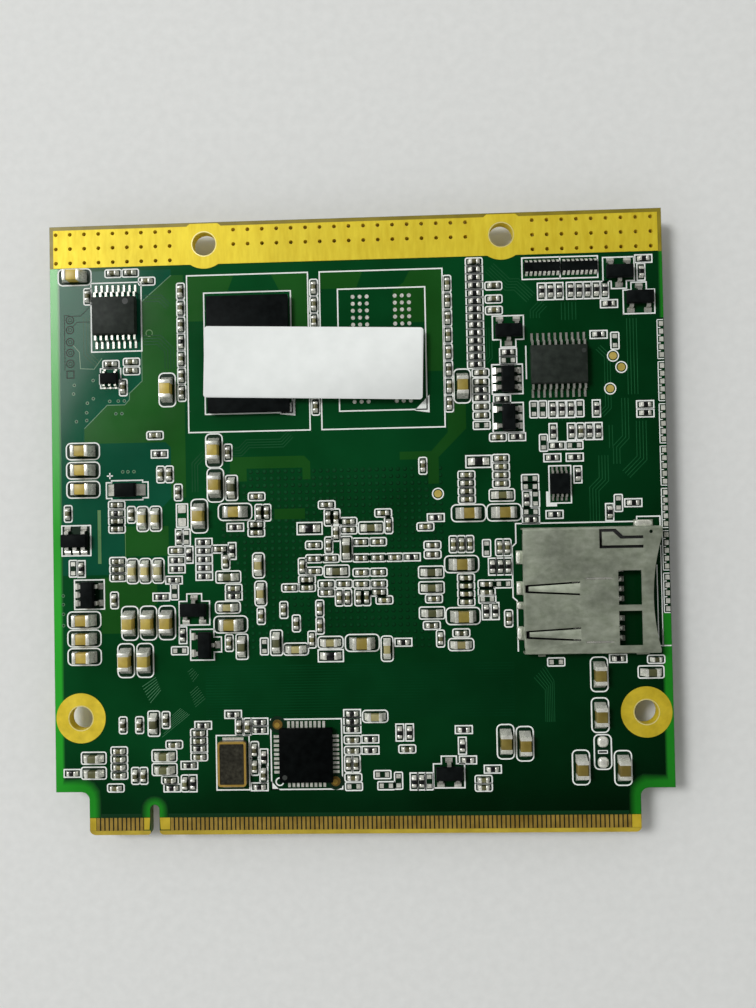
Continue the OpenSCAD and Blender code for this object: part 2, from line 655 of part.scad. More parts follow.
// The mouth steps back beside the arm that reaches over the slider
arm_y = 4.7;
arm_step = 0.43;
window_x = -4.95;
window_l = 2.55;
window_w = 3.8;
window_ys = [-6.1, -1.65];
groove_x = -7.05;
groove_l = 3.1;
groove_w = 0.26;
groove_d = 0.07;
groove_ys = [1.3, -5.7];

module shell_cuts() {
  finger_plan(finger_slit);
  hold_plan(hold_slit);
  // Two windows over the solder tails
  for (y = window_ys)
    translate([window_x, y, inner_h - 0.1]) cube([window_l, window_w, 1]);
  // Scooped front edge where the card is gripped
  translate([scoop_r - scoop_d, scoop_y, -1]) cylinder(r = scoop_r, h = 4, $fn = 180);
  translate([-arm_step, -half_w - 1, -1]) cube([arm_step + 1, half_w + 1 + arm_y, 4]);
  // Round gauge hole
  translate([-1.24, half_w - 0.62, 0]) cylinder(d = 0.4, h = 4);
  // Two coined grooves that guide the card
  for (y = groove_ys) translate([groove_x, y, sock_h - groove_d]) block(groove_l, groove_w, 1);
  // Notches at the tips of the two spring fingers
  for (y = finger_ys) translate([sock_back, y, inner_h - 0.2])
    block(2 * (finger_tip - sock_back), finger_notch_w, 1);
  // Side walls are open between their feet
  for (s = [-1, 1]) translate([-11.5, s * half_w, -1])
    block(5, 2, 1 + sock_h / 2);
}

// Feet that are bent out flat and soldered to the board
module shell_feet() {
  translate([-2.7, half_w - sheet_t, 0]) cube([2.1, 0.9, sheet_t]);
  translate([-2.7, -half_w - 0.35, 0]) cube([1.4, 0.55, sheet_t]);
  translate([-13.65, -half_w - 0.45, 0]) cube([0.8, 0.65, sheet_t]);
  for (t = back_tabs) translate([sock_back - 0.6, t[0] - t[1] / 2, 0])
    cube([0.6 + sheet_t, t[1], sheet_t]);
}

// Back wall in tabs that are folded down from the top plate: place and width
back_tabs = [[-4.8, 1.5], [0.25, 1.5], [-1.7, 0.8], [3.7, 1.5]];
back_lip = 0.5;

module shell_back() {
  for (t = back_tabs) translate([sock_back, t[0] - t[1] / 2, 0])
    cube([sheet_t, t[1], inner_h + eps]);
  translate([sock_back, -half_w + 2 * bend_r, inner_h - back_lip])
    cube([sheet_t, sock_w - 4 * bend_r, back_lip + eps]);
}

module shell_ribs() {
  // The metal that the grooves press down under the plate
  for (y = groove_ys) translate([groove_x, y, inner_h - groove_d])
    block(groove_l, groove_w, groove_d + eps);
}

module socket_shell() {
  color("darkkhaki") sock_place() {
    difference() {
      union() {
        translate([sock_back, 0, 0]) rotate([90, 0, 90]) linear_extrude(sock_d) shell_section();
        shell_back();
      }
      shell_cuts();
    }
    intersection() {
      finger_plan(0);
      pressed_spring(finger_tip - eps, finger_root + eps, 0.2);
    }
    intersection() {
      hold_plan(0);
      pressed_spring(hold_tip - eps, hold_root + eps, hold_drop);
    }
    shell_feet();
    shell_ribs();
  }
}

// One contact strip seen from the side, from its solder tail to its tip
module contact_section(t) {
  polygon([
    [tail_x, 0], [tail_x, t], [root_x + 0.45, t], [root_x + 0.15, 0.15 + t], [root_x - 0.9, 0.15 + t],
    [root_x - beam_l, 0.75 + t], [root_x - beam_l - 0.7, 0.5 + t], [root_x - beam_l - 0.7, 0.5],
    [root_x - beam_l, 0.75], [root_x - 0.9, 0.15], [root_x + 0.2, 0.15], [root_x + 0.5, 0]]);
}

module contact_row(w) {
  for (i = [0 : 7]) translate([0, contact_y0 + i * card_pitch + w / 2, 0])
    rotate([90, 0, 0]) linear_extrude(w) contact_section(strip_t);
}

module card_contacts() {
  color("gainsboro") sock_place() contact_row(card_contact_w);
}

// Moulded base: floor, back wall, slider track and the post that holds the cam pin
module socket_base() {
  in_w = sock_w - 2 * sheet_t;
  color([0.09, 0.09, 0.1]) sock_place() difference() {
    union() {
      translate([sock_back + sheet_t, -in_w / 2, 0])
        cube([root_x - sock_back - sheet_t, in_w, floor_t]);
      translate([sock_back + sheet_t, -in_w / 2, 0])
        cube([back_wall, in_w, inner_h - 0.55]);
      translate([root_x - eps, rail_y0 - 0.1, 0])
        cube([-0.9 - root_x, rail_y1 - rail_y0 + 0.1 + run_gap, floor_t]);
      translate([cam_root_x - 0.35, rail_y0, 0])
        cube([0.9, 1.2, cam_top]);
      // Low side wall that guides the card
      translate([sock_back + sheet_t, -in_w / 2, 0])
        cube([root_x - sock_back - sheet_t, card_y0 + in_w / 2 - 0.05, inner_h - 0.55]);
    }
    contact_row(card_contact_w);
    // Slots in which the contact beams flex
    for (i = [0 : 7])
      translate([root_x - beam_l - 1, contact_y0 + i * card_pitch - card_contact_w / 2 - 0.12, -1])
        cube([beam_l + 0.1, card_contact_w + 0.24, 3]);
    translate([cam_root_x, cam_y, floor_t])
      cylinder(d = cam_wire + 0.04, h = 3);
    // Room under the two spring fingers of the shell
    translate([sock_back, -half_w, inner_h - 0.6]) cube([1.5, sock_w - 3.2, 1]);
  }
}

// Wire staple: one end turns in the base, the other follows the heart-shaped track
module cam_pin() {
  color("silver") sock_place() {
    translate([cam_tip_x, cam_y, cam_z]) rotate([0, 90, 0])
      cylinder(d = cam_wire, h = cam_root_x - cam_tip_x);
    translate([cam_tip_x, cam_y, cam_floor + run_gap])
      cylinder(d = cam_wire, h = cam_z - cam_floor - run_gap);
    translate([cam_root_x, cam_y, floor_t + 0.1])
      cylinder(d = cam_wire, h = cam_z - floor_t - 0.1);
    for (x = [cam_tip_x, cam_root_x]) translate([x, cam_y, cam_z]) sphere(d = cam_wire);
  }
}

// Slider that the card pushes in: spring bore, heart track and the hook at the card's corner
module card_slider() {
  track_w = cam_wire + 2 * run_gap + 0.06;
  track_x0 = cam_tip_x - cam_wire / 2 - run_gap - 0.05;
  track_l = slide_travel + cam_wire + 2 * run_gap + 0.2;
  color([0.16, 0.16, 0.17]) sock_place() difference() {
    union() {
      translate([slide_x0, rail_y0 + 1.15, slide_z0])
        cube([slide_l, rail_y1 - rail_y0 - 1.15, slide_z1 - slide_z0]);
      translate([slide_x0, rail_y0, slide_z0])
        cube([slide_l, 1.15 + eps, cam_top - slide_z0]);
      translate([slide_x0 + 0.6, rail_y0 - 0.9, slide_z0 + 0.05])
        cube([1.1, 0.9 + eps, 0.6]);
    }
    // Straight side of the track, then the loop around the heart
    translate([track_x0, cam_y - track_w / 2, cam_floor]) cube([track_l, track_w, 1]);
    difference() {
      translate([track_x0, cam_y - track_w / 2, cam_floor]) cube([track_l, 0.85, 1]);
      translate([track_x0 + track_l / 2, cam_y + track_w / 2 + 0.14, 0]) linear_extrude(3)
        polygon([[-1.1, 0], [-0.5, 0.22], [0.6, 0.22], [0.9, 0.1], [0.9, -0.14],
          [-0.8, -0.14]]);
    }
    translate([slide_x0 - 1, coil_y, coil_z]) rotate([0, 90, 0])
      cylinder(r = coil_bore, h = coil_x1 - slide_x0 + 1);
  }
}

// Coil spring behind the slider, swept as one round wire
coil_steps = 12;
coil_sides = 6;
coil_r = (coil_d - coil_wire) / 2;
coil_from = coil_x0 + coil_wire / 2 + 0.03;
coil_to = coil_x1 - coil_wire / 2 - 0.05;
coil_n = coil_turns * coil_steps;
function coil_ring(i) = [for (k = [0 : coil_sides - 1])
  let (a = 360 * i / coil_steps, b = 360 * k / coil_sides,
    r = coil_r + coil_wire / 2 * cos(b), f = i / coil_n)
  [coil_from + f * (coil_to - coil_from) + coil_wire / 2 * sin(b), r * cos(a), r * sin(a)]];

module slider_spring() {
  pts = [for (i = [0 : coil_n]) each coil_ring(i)];
  sides = [for (i = [0 : coil_n - 1], k = [0 : coil_sides - 1])
    let (j = (k + 1) % coil_sides, a = i * coil_sides, b = a + coil_sides)
    [a + k, b + k, b + j, a + j]];
  caps = [[for (k = [0 : coil_sides - 1]) k],
    [for (k = [coil_sides - 1 : -1 : 0]) coil_n * coil_sides + k]];
  color("silver") sock_place() translate([0, coil_y, coil_z])
    polyhedron(points = pts, faces = concat(sides, caps));
}

// Ball-grid parts
mem_cols = [-4, -3, -2, 2, 3, 4];
mem_rows = 16;

module mem_grid() {
  for (c = mem_cols, j = [0 : mem_rows - 1])
    translate([c * mem_pitch, (j - (mem_rows - 1) / 2) * mem_pitch, 0]) children();
}

module memory_chips() {
  color([0.07, 0.07, 0.08]) {
    at_top(memory_top) translate([0, 0, mem_stand]) block(mem_w, mem_l, mem_t);
    for (p = [memory_top, memory_spare])
      at_low(p) translate([0, 0, mem_stand]) block(mem_w, mem_l, mem_t);
  }
}

module memory_balls() {
  color("silver") {
    at_top(memory_top) mem_grid() cylinder(d = mem_ball, h = mem_stand, $fn = 16);
    for (p = [memory_top, memory_spare])
      at_low(p) mem_grid() cylinder(d = mem_ball, h = mem_stand, $fn = 16);
  }
}

module memory_site_pads() {
  color("whitesmoke") at_top(memory_spare) mem_grid()
    cylinder(d = mem_ball, h = copper_t, $fn = 16);
}

// Middle of the label against the middle of the chip that it lies on
label_off = [7.45, -1.25];

module blank_label() {
  color("white") at_top(memory_top)
    translate([label_off[0], label_off[1], mem_stand + mem_t])
      rotate(label_turn) round_plate(label_l, label_w, label_t, 0.35);
}

// Moulded chip body with drafted sides, about its own middle
module moulded(l, w, h, draft = 0.1) {
  m = h * 0.45;
  intersection() {
    rotate([90, 0, 0]) linear_extrude(w, center = true)
      polygon([[-l / 2 + draft, 0], [-l / 2, m], [-l / 2 + draft, h], [l / 2 - draft, h], [l / 2, m],
        [l / 2 - draft, 0]]);
    rotate([90, 0, 90]) linear_extrude(l, center = true)
      polygon([[-w / 2 + draft, 0], [-w / 2, m], [-w / 2 + draft, h], [w / 2 - draft, h], [w / 2, m],
        [w / 2 - draft, 0]]);
  }
}

// Gull-wing lead: leaves the body at height m, runs out along +Y and stands on the board
module gull_lead(y0, m, reach, w, t) {
  k = reach * 0.35;
  translate([w / 2, y0, 0]) rotate([90, 0, -90]) linear_extrude(w)
    polygon([[0, m - t / 2], [-k + t * 0.5, m - t / 2], [-k - t * 0.2, 0], [-reach, 0], [-reach, t],
      [-k - t * 1.1, t], [-k - t * 0.4, m + t / 2], [0, m + t / 2]]);
}

// A row of leads on both long sides of a body that is w wide
module lead_rows(near, far, pitch, w, m, reach, lw, t) {
  for (i = far) translate([i * pitch, 0, 0]) gull_lead(w / 2, m, reach, lw, t);
  for (i = near) translate([i * pitch, 0, 0]) rotate(180) gull_lead(w / 2, m, reach, lw, t);
}

function centred(n) = [for (i = [0 : n - 1]) i - (n - 1) / 2];

module logic_body(n) {
  translate([0, 0, body_lift])
    moulded((n - 1) * lead_pitch + 0.5, logic_w, logic_h - body_lift);
}

module logic_leads(n) {
  lead_rows(centred(n), centred(n), lead_pitch, logic_w,
    body_lift + (logic_h - body_lift) * 0.45, logic_reach, lead_w, lead_t);
}

module logic_chip_a() {
  color([0.08, 0.08, 0.09]) at_top(logic_a_at) logic_body(8);
}

module logic_chip_a_leads() {
  color("silver") at_top(logic_a_at) logic_leads(8);
}

module logic_chip_b() {
  color([0.08, 0.08, 0.09]) at_top(logic_b_at) logic_body(10);
}

module logic_chip_b_leads() {
  color("silver") at_top(logic_b_at) logic_leads(10);
}

// Small eight-lead memory chip
prom_l = 2.2;
prom_w = 2.3;
prom_h = 0.85;
prom_pitch = 0.5;

module prom_chip() {
  color([0.08, 0.08, 0.09]) at_top(prom_at) translate([0, 0, body_lift])
    moulded(prom_l, prom_w, prom_h - body_lift, 0.07);
}

module prom_chip_leads() {
  color("silver") at_top(prom_at) lead_rows(centred(4), centred(4), prom_pitch, prom_w,
    body_lift + (prom_h - body_lift) * 0.45, 0.75, 0.22, lead_t);
}

// Transistors with three leads, and regulators with five or six
sot_pitch = 0.95;
sot_lead_w = 0.45;
sot_m = body_lift + (sot_h - body_lift) * 0.45;
tiny_l = 2;
tiny_w = 1.25;
tiny_h = 0.95;
tiny_m = body_lift + (tiny_h - body_lift) * 0.45;

sot_land_w = 0.8;
sot_land_pitch_w = 0.7;
sot_land_toe = 0.15;

// Solder that wets the foot of a lead, thick at the heel and thin at the toe
module lead_solder(near, far, w, lw) {
  k = sot_reach * 0.5;
  for (a = [0, 180], i = a == 0 ? far : near) rotate(a)
    translate([(a == 0 ? i : -i) * sot_pitch + lw / 2, w / 2 + k, 0])
      rotate([90, 0, -90]) linear_extrude(lw)
        polygon([[0, 0], [k - sot_reach - sot_land_toe, 0], [k - sot_reach - sot_land_toe, 0.06],
          [-0.2, 0.2], [0, 0.16]]);
}

module transistors() {
  color([0.09, 0.09, 0.1]) on_top(sot3_top) translate([0, 0, body_lift])
    moulded(sot_l, sot_w, sot_h - body_lift, 0.08);
}

module transistor_leads() {
  color("silver") on_top(sot3_top) {
    lead_rows([-1, 1], [0], sot_pitch, sot_w, sot_m, sot_reach, sot_lead_w, lead_t);
    lead_solder([-1, 1], [0], sot_w, sot_land_w);
  }
}

module regulators() {
  color([0.09, 0.09, 0.1]) {
    for (p = sot5_top) at_top(p, p[2]) translate([0, 0, body_lift])
      moulded(sot_l, sot_w, sot_h - body_lift, 0.08);
    at_top(tiny_at) translate([0, 0, body_lift])
      moulded(tiny_l, tiny_w, tiny_h - body_lift, 0.06);
  }
}

module regulator_leads() {
  color("silver") {
    for (p = sot5_top) at_top(p, p[2]) {
      lead_rows(p[3], p[4], sot_pitch, sot_w, sot_m, sot_reach, sot_lead_w, lead_t);
      lead_solder(p[3], p[4], sot_w, sot_land_pitch_w);
    }
    at_top(tiny_at) lead_rows([-1, 0, 1], [-1, 1], lead_pitch, tiny_w, tiny_m, 0.5, lead_w, lead_t);
  }
}

// Flat square chip on lands that show all round it
module square_body(w, h) {
  translate([0, 0, land_h]) block(w, w, h - land_h);
}

module square_lands(w, n, pitch, lw, toe, pad) {
  for (a = [0 : 90 : 270], i = centred(n)) rotate(a)
    translate([i * pitch - lw / 2, w / 2 - 0.3, 0]) cube([lw, 0.3 + toe, land_h]);
  block(pad, pad, land_h);
}

module hub_chip() {
  color([0.06, 0.06, 0.07]) at_top(hub_at) square_body(hub_w, hub_h);
}

module hub_chip_lands() {
  color("silver") at_top(hub_at) square_lands(hub_w, 9, hub_pitch, hub_land_w, hub_toe, 4);
}

// Crystal: ceramic tub, gold seal rim and metal lid on two lands
module crystal_base() {
  color("dimgray") at_top(xtal_at) translate([0, 0, land_h])
    round_plate(xtal_w, xtal_l, xtal_base_h, 0.3);
}

module crystal_rim() {
  color("goldenrod") at_top(xtal_at) translate([0, 0, land_h + xtal_base_h]) difference() {
    round_plate(xtal_w, xtal_l, xtal_lid_h, 0.3);
    translate([0, 0, -1]) round_plate(xtal_w - 2 * xtal_rim, xtal_l - 2 * xtal_rim, 3, 0.15);
  }
}

module crystal_lid() {
  color("gray") at_top(xtal_at) translate([0, 0, land_h + xtal_base_h])
    round_plate(xtal_w - 2 * xtal_rim, xtal_l - 2 * xtal_rim, xtal_lid_h - 0.06, 0.15);
}

module crystal_lands() {
  color("silver") at_top(xtal_at) for (s = [-1, 1])
    translate([0, s * (xtal_l / 2 - 0.2), 0]) block(2.4, 1, land_h);
}

// Plated end of a chip part, seen from the side, with its solder fillet in front.
// The end face is at x = 0 and the part runs towards -X
module end_section(h, e, toe) {
  polygon([[-e, 0], [toe, 0], [toe, 0.05], [0, h * 0.7], [0, h], [-e, h], [-e, h - plate_t],
    [-plate_t, h - plate_t], [-plate_t, plate_t], [-e, plate_t]]);
}

module both_ends(l) {
  for (s = [0, 1]) mirror([s, 0, 0]) translate([l / 2, 0, 0]) children();
}

// Ends that wrap over the top and bottom only
module strap_ends(l, w, h, e, toe) {
  both_ends(l) translate([0, w / 2, 0]) rotate([90, 0, 0]) linear_extrude(w)
    end_section(h, e, toe);
}

// Ends that cap the part on all five sides
module cap_ends(l, w, h, e, toe) {
  both_ends(l) difference() {
    translate([0, w / 2, 0]) rotate([90, 0, 0]) linear_extrude(w)
      polygon([[-e, 0], [toe, 0], [toe, 0.05], [0, h * 0.7], [0, h], [-e, h]]);
    translate([-l - plate_t, -w / 2 + plate_t, plate_t]) cube([l, w - 2 * plate_t, h - 2 * plate_t]);
  }
}

module chip_core(l, w, h) {
  translate([0, 0, plate_t]) block(l - 2 * plate_t, w - 2 * plate_t, h - 2 * plate_t);
}

module flat_core(l, w, h) {
  translate([0, 0, plate_t]) block(l - 2 * plate_t, w, h - 2 * plate_t);
}

// Small capacitors stand round the processor, at this distance and pitch
ring_gap = 1.9;
ring_pitch = 1.9;
ring_n = 1 + floor((proc_w - ring_gap) / ring_pitch);

module round_processor() {
  at_low(proc_at) for (a = [0 : 90 : 270], i = centred(ring_n))
    rotate(a) translate([i * ring_pitch, proc_w / 2 + ring_gap, 0]) rotate(90) children();
}

module small_capacitors() {
  color("tan") {
    on_top(cap_small_top) chip_core(small_l, small_w, small_h);
    round_processor() chip_core(small_l, small_w, small_h);
  }
}

module small_capacitor_ends() {
  color("silver") {
    on_top(cap_small_top) cap_ends(small_l, small_w, small_h, small_end, small_toe);
    round_processor() cap_ends(small_l, small_w, small_h, small_end, small_toe);
  }
}

module middle_capacitors() {
  color("tan") on_top(cap_mid_top) chip_core(mid_l, mid_w, mid_h);
}

module middle_capacitor_ends() {
  color("silver") on_top(cap_mid_top) cap_ends(mid_l, mid_w, mid_h, mid_end, mid_toe);
}

module large_capacitors() {
  color("peru") {
    on_top(cap_large_top) chip_core(large_l, large_w, large_h);
    on_low(cap_large_low) chip_core(large_l, large_w, large_h);
  }
}

module large_capacitor_ends() {
  color("silver") {
    on_top(cap_large_top) cap_ends(large_l, large_w, large_h, large_end, large_toe);
    on_low(cap_large_low) cap_ends(large_l, large_w, large_h, large_end, large_toe);
  }
}

module ferrite_beads() {
  color([0.2, 0.19, 0.15]) on_top(bead_top) chip_core(mid_l, mid_w, mid_h);
}

module ferrite_bead_ends() {
  color("silver") on_top(bead_top) cap_ends(mid_l, mid_w, mid_h, mid_end, mid_toe);
}

module resistors() {
  color([0.08, 0.08, 0.08]) {
    on_top(res_small_top) flat_core(small_l, small_w, res_h);
    on_top(res_mid_top) flat_core(mid_l, mid_w, res_h + 0.1);
  }
}

module resistor_ends() {
  color("silver") {
    on_top(res_small_top) strap_ends(small_l, small_w, res_h, small_end, small_toe);
    on_top(res_mid_top) strap_ends(mid_l, mid_w, res_h + 0.1, mid_end, mid_toe);
  }
}

// Two arrays of eight resistors each, with their ends let into the long sides
array_l = 4;
array_w = 1.3;
array_h = 0.45;
array_pitch = 0.5;
array_end_w = 0.28;
array_end_d = 0.12;
array_toe = 0.25;

module resistor_arrays() {
  color([0.08, 0.08, 0.08]) for (p = array_at) at_top(p) difference() {
    block(array_l, array_w, array_h);
    for (s = [-1, 1], i = centred(8))
      translate([i * array_pitch, s * (array_w / 2), -1]) block(array_end_w, 2 * array_end_d, 3);
  }
}

module resistor_array_ends() {
  color("silver") for (p = array_at) at_top(p)
    for (s = [0, 180], i = centred(8)) rotate(s)
      translate([i * array_pitch + array_end_w / 2, array_w / 2 - array_end_d, 0])
        rotate([90, 0, -90]) linear_extrude(array_end_w)
          polygon([[0, 0], [-array_end_d - array_toe, 0], [-array_end_d - array_toe, 0.05],
            [-array_end_d, array_h], [0, array_h]]);
}

// Tantalum capacitor with strap terminals folded under it
tant_strap = 0.1;
tant_toe = 0.85;
tant_end_w = 1.3;

module tantalum_capacitor() {
  color([0.1, 0.1, 0.11]) at_top(tant_at) translate([0, 0, tant_strap])
    moulded(tant_l - 2 * tant_strap, tant_w, tant_h - tant_strap, 0.06);
}

module tantalum_ends() {
  m = tant_strap + (tant_h - tant_strap) * 0.45;
  color("silver") at_top(tant_at) both_ends(tant_l) translate([0, tant_end_w / 2, 0])
    rotate([90, 0, 0]) linear_extrude(tant_end_w)
      polygon([[-tant_toe, 0], [tant_toe, 0], [tant_toe, 0.12], [0.45, m * 0.6], [0, m], [-tant_strap, m],
        [-tant_strap, tant_strap], [-tant_toe, tant_strap]]);
}

// Tinned pads of the empty footprints
module empty_pads() {
  color("whitesmoke") {
    on_top(bare_small_top) for (s = [-1, 1])
      translate([s * 0.52, 0, 0]) block(0.46, 0.5, 0.06);
    for (r = bare_large_top) at_top(r, r[2]) for (s = [-1, 1])
      translate([s * r[3], 0, 0]) round_plate(2 * r[4], 2 * r[4], 0.1, r[5]);
  }
}

// Gold test points and two round alignment marks beside the hub chip
module test_points() {
  color("gold") {
    for (p = [[29.25, 18.4], [30.15, 17.1], [28.85, 14.7], [9.25, 3.25]])
      at_top(p) cylinder(d = 0.85, h = copper_t);
    for (p = [[-3.25, 3.35], [3.25, -3.1]])
      at_top(hub_at + p) cylinder(d = 1.1, h = copper_t);
  }
}

// Tinned test pads along the right edge, in groups of five
edge_pad_in = 0.33;
edge_pad_y = 21.9;
edge_pad_pitch = 0.88;
edge_group_pitch = 4.75;

module edge_pads() {
  color("whitesmoke") for (g = [0 : 6], i = [0 : 4])
    at_top([plan_x - edge_pad_in, edge_pad_y - g * edge_group_pitch - i * edge_pad_pitch])
      block(0.46, 0.52, 0.08);
}

// Processor under the board, on whose lid the module lies
proc_rim = 1.5;
proc_n = 1 + floor((proc_w - 2 * proc_rim) / proc_pitch);
lid_flange = 1.5;
function proc_ball_here(i, j) =
  min(i, j, proc_n - 1 - i, proc_n - 1 - j) < 3
  || max(abs(2 * i - proc_n + 1), abs(2 * j - proc_n + 1)) < 6;

module processor_balls() {
  color("silver") at_low(proc_at)
    for (i = [0 : proc_n - 1], j = [0 : proc_n - 1]) if (proc_ball_here(i, j))
      translate([(i - (proc_n - 1) / 2) * proc_pitch, (j - (proc_n - 1) / 2) * proc_pitch, 0])
        cylinder(d = proc_ball, h = proc_stand, $fn = 16);
}

module processor_substrate() {
  color("seagreen") at_low(proc_at) translate([0, 0, proc_stand]) block(proc_w, proc_w, proc_sub_t);
}

module processor_lid() {
  color("lightgray") at_low(proc_at) translate([0, 0, proc_stand + proc_sub_t]) {
    round_plate(proc_lid_w, proc_lid_w, proc_lid_t * 0.45, 0.8);
    translate([0, 0, proc_lid_t * 0.45])
      round_plate(proc_lid_w - 2 * lid_flange, proc_lid_w - 2 * lid_flange, proc_lid_t * 0.55, 0.8);
  }
}

// Storage chip on a grid of balls in a square ring
store_n = 14;
store_pitch = 0.65;

module storage_chip() {
  color([0.07, 0.07, 0.08]) at_low(store_at) translate([0, 0, mem_stand])
    block(store_w, store_l, mem_t);
}

module storage_balls() {
  color("silver") at_low(store_at)
    for (i = [0 : store_n - 1], j = [0 : store_n - 1])
      if (min(i, j, store_n - 1 - i, store_n - 1 - j) < 3)
        translate([(i - (store_n - 1) / 2) * store_pitch, (j - (store_n - 1) / 2) * store_pitch, 0])
          cylinder(d = 0.35, h = mem_stand, $fn = 16);
}

module power_chip() {
  color([0.07, 0.07, 0.08]) at_low(power_at) square_body(power_w, hub_h);
}

module network_chip() {
  color([0.07, 0.07, 0.08]) at_low(net_at) square_body(net_w, hub_h);
}

module lower_chip_lands() {
  color("silver") {
    at_low(power_at) square_lands(power_w, 14, hub_pitch, hub_land_w, hub_toe / 2, 5.4);
    at_low(net_at) square_lands(net_w, 12, hub_pitch, hub_land_w, hub_toe / 2, 4.6);
  }
}

// Start-up flash chip with eight leads
flash_l = 4.9;
flash_w = 3.9;
flash_h = 1.6;

module flash_chip() {
  color([0.07, 0.07, 0.08]) at_low(flash_at) translate([0, 0, body_lift])
    moulded(flash_l, flash_w, flash_h - body_lift, 0.12);
}

module flash_chip_leads() {
  color("silver") at_low(flash_at) lead_rows(centred(4), centred(4), 1.27, flash_w,
    body_lift + (flash_h - body_lift) * 0.45, 1.05, 0.4, 0.2);
}

// Moulded power inductors with strap ends
module power_inductors() {
  color("dimgray") on_low(coil_box_low) translate([0, 0, tant_strap])
    round_plate(coil_box_w - 2 * tant_strap, coil_box_w, coil_box_h - tant_strap, 0.4);
}

module inductor_ends() {
  color("silver") on_low(coil_box_low) both_ends(coil_box_w) translate([0, 1, 0])
    rotate([90, 0, 0]) linear_extrude(2)
      polygon([[-1, 0], [0.4, 0], [0.4, 0.06], [0, 0.6], [0, 0.8], [-tant_strap, 0.8],
        [-tant_strap, tant_strap], [-1, tant_strap]]);
}

board();
cooling_strips();
edge_contacts();
mount_lands();
socket_shell();
socket_base();
card_contacts();
card_slider();
slider_spring();
cam_pin();
memory_chips();
memory_balls();
memory_site_pads();
blank_label();
logic_chip_a();
logic_chip_a_leads();
logic_chip_b();
logic_chip_b_leads();
prom_chip();
prom_chip_leads();
hub_chip();
hub_chip_lands();
crystal_base();
crystal_rim();
crystal_lid();
crystal_lands();
tantalum_capacitor();
tantalum_ends();
resistor_arrays();
resistor_array_ends();
transistors();
transistor_leads();
regulators();
regulator_leads();
small_capacitors();
small_capacitor_ends();
middle_capacitors();
middle_capacitor_ends();
large_capacitors();
large_capacitor_ends();
ferrite_beads();
ferrite_bead_ends();
resistors();
resistor_ends();
empty_pads();
test_points();
edge_pads();
processor_substrate();
processor_lid();
processor_balls();
storage_chip();
storage_balls();
power_chip();
network_chip();
lower_chip_lands();
flash_chip();
flash_chip_leads();
power_inductors();
inductor_ends();
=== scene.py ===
import math

import bmesh
import bpy
from mathutils import Matrix, Vector


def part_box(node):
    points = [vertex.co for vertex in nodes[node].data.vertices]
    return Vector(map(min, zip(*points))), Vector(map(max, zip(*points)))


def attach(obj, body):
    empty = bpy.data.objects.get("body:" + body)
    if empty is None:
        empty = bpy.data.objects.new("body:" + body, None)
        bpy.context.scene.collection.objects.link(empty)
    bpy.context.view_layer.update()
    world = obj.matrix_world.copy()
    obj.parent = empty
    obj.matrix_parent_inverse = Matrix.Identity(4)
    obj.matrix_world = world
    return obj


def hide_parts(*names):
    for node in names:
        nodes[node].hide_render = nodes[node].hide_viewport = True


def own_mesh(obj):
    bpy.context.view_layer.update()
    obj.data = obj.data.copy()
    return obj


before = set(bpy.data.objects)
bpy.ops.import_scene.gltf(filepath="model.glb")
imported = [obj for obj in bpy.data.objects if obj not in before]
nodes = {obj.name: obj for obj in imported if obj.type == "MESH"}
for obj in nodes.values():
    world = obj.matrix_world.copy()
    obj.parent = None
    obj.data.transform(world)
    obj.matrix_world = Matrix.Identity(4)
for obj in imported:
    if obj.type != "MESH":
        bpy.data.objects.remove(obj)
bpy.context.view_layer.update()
BODY = "module"

# Places and sizes below are in millimetres, and MM turns them into metres
MM = 0.001
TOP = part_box("board")[1].z / MM
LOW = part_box("board")[0].z / MM
HALF_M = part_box("board")[1].x

# Heights of the flat shapes above the face that they lie on
SHADE_RISE = 0.0015
FINE_RISE = 0.002
VIA_SHADE_RISE = 0.003
VIA_HIGHLIGHT_RISE = 0.0035
AREA_RISE = 0.004
GLOW_RISE = 0.006
SHORE_RISE = 0.007
TRACE_RISE = 0.009
OUTLINE_SHADE_RISE = 0.010
RING_RISE = 0.011
PLUG_RISE = 0.012
PRINT_RISE = 0.014
CLEARING_RISE = 0.016
GOLD_RISE = 0.052
GLINT_RISE = 0.054
DIMPLE_RISE = 0.003

# Centres of the mounting holes
STRIP_HOLES = ((-17.0, 32.5), (17.0, 32.5))
SIDE_HOLES = ((-32.0, -21.6), (32.0, -21.6))


# Nodes of the materials
def multiplied(tree, colour, shade):
    """One colour times another."""
    times = tree.nodes.new("ShaderNodeMix")
    times.data_type = "RGBA"
    times.blend_type = "MULTIPLY"
    times.inputs[0].default_value = 1.0
    tree.links.new(colour, times.inputs[6])
    tree.links.new(shade, times.inputs[7])
    return times.outputs[2]


def spanned(tree, value, low, high, start=0.0, end=1.0):
    """A map range node that turns start to end into low to high."""
    span = tree.nodes.new("ShaderNodeMapRange")
    span.inputs["From Min"].default_value = start
    span.inputs["From Max"].default_value = end
    span.inputs["To Min"].default_value = low
    span.inputs["To Max"].default_value = high
    tree.links.new(value, span.inputs["Value"])
    return span


def noise(tree, place, scale, **sockets):
    """Noise at a scale, with its other sockets given by name."""
    node = tree.nodes.new("ShaderNodeTexNoise")
    node.inputs["Scale"].default_value = scale
    for name, value in sockets.items():
        node.inputs[name].default_value = value
    tree.links.new(place, node.inputs["Vector"])
    return node.outputs["Fac"]


CLOUD_START, CLOUD_END = 0.32, 0.68


def cloud_shade(tree, place, scale, low, high):
    """Broad patches from dark to light, such as stains or uneven plating."""
    patches = noise(tree, place, scale, Detail=6.0, Roughness=0.65)
    return spanned(tree, patches, low, high, CLOUD_START, CLOUD_END).outputs["Result"]


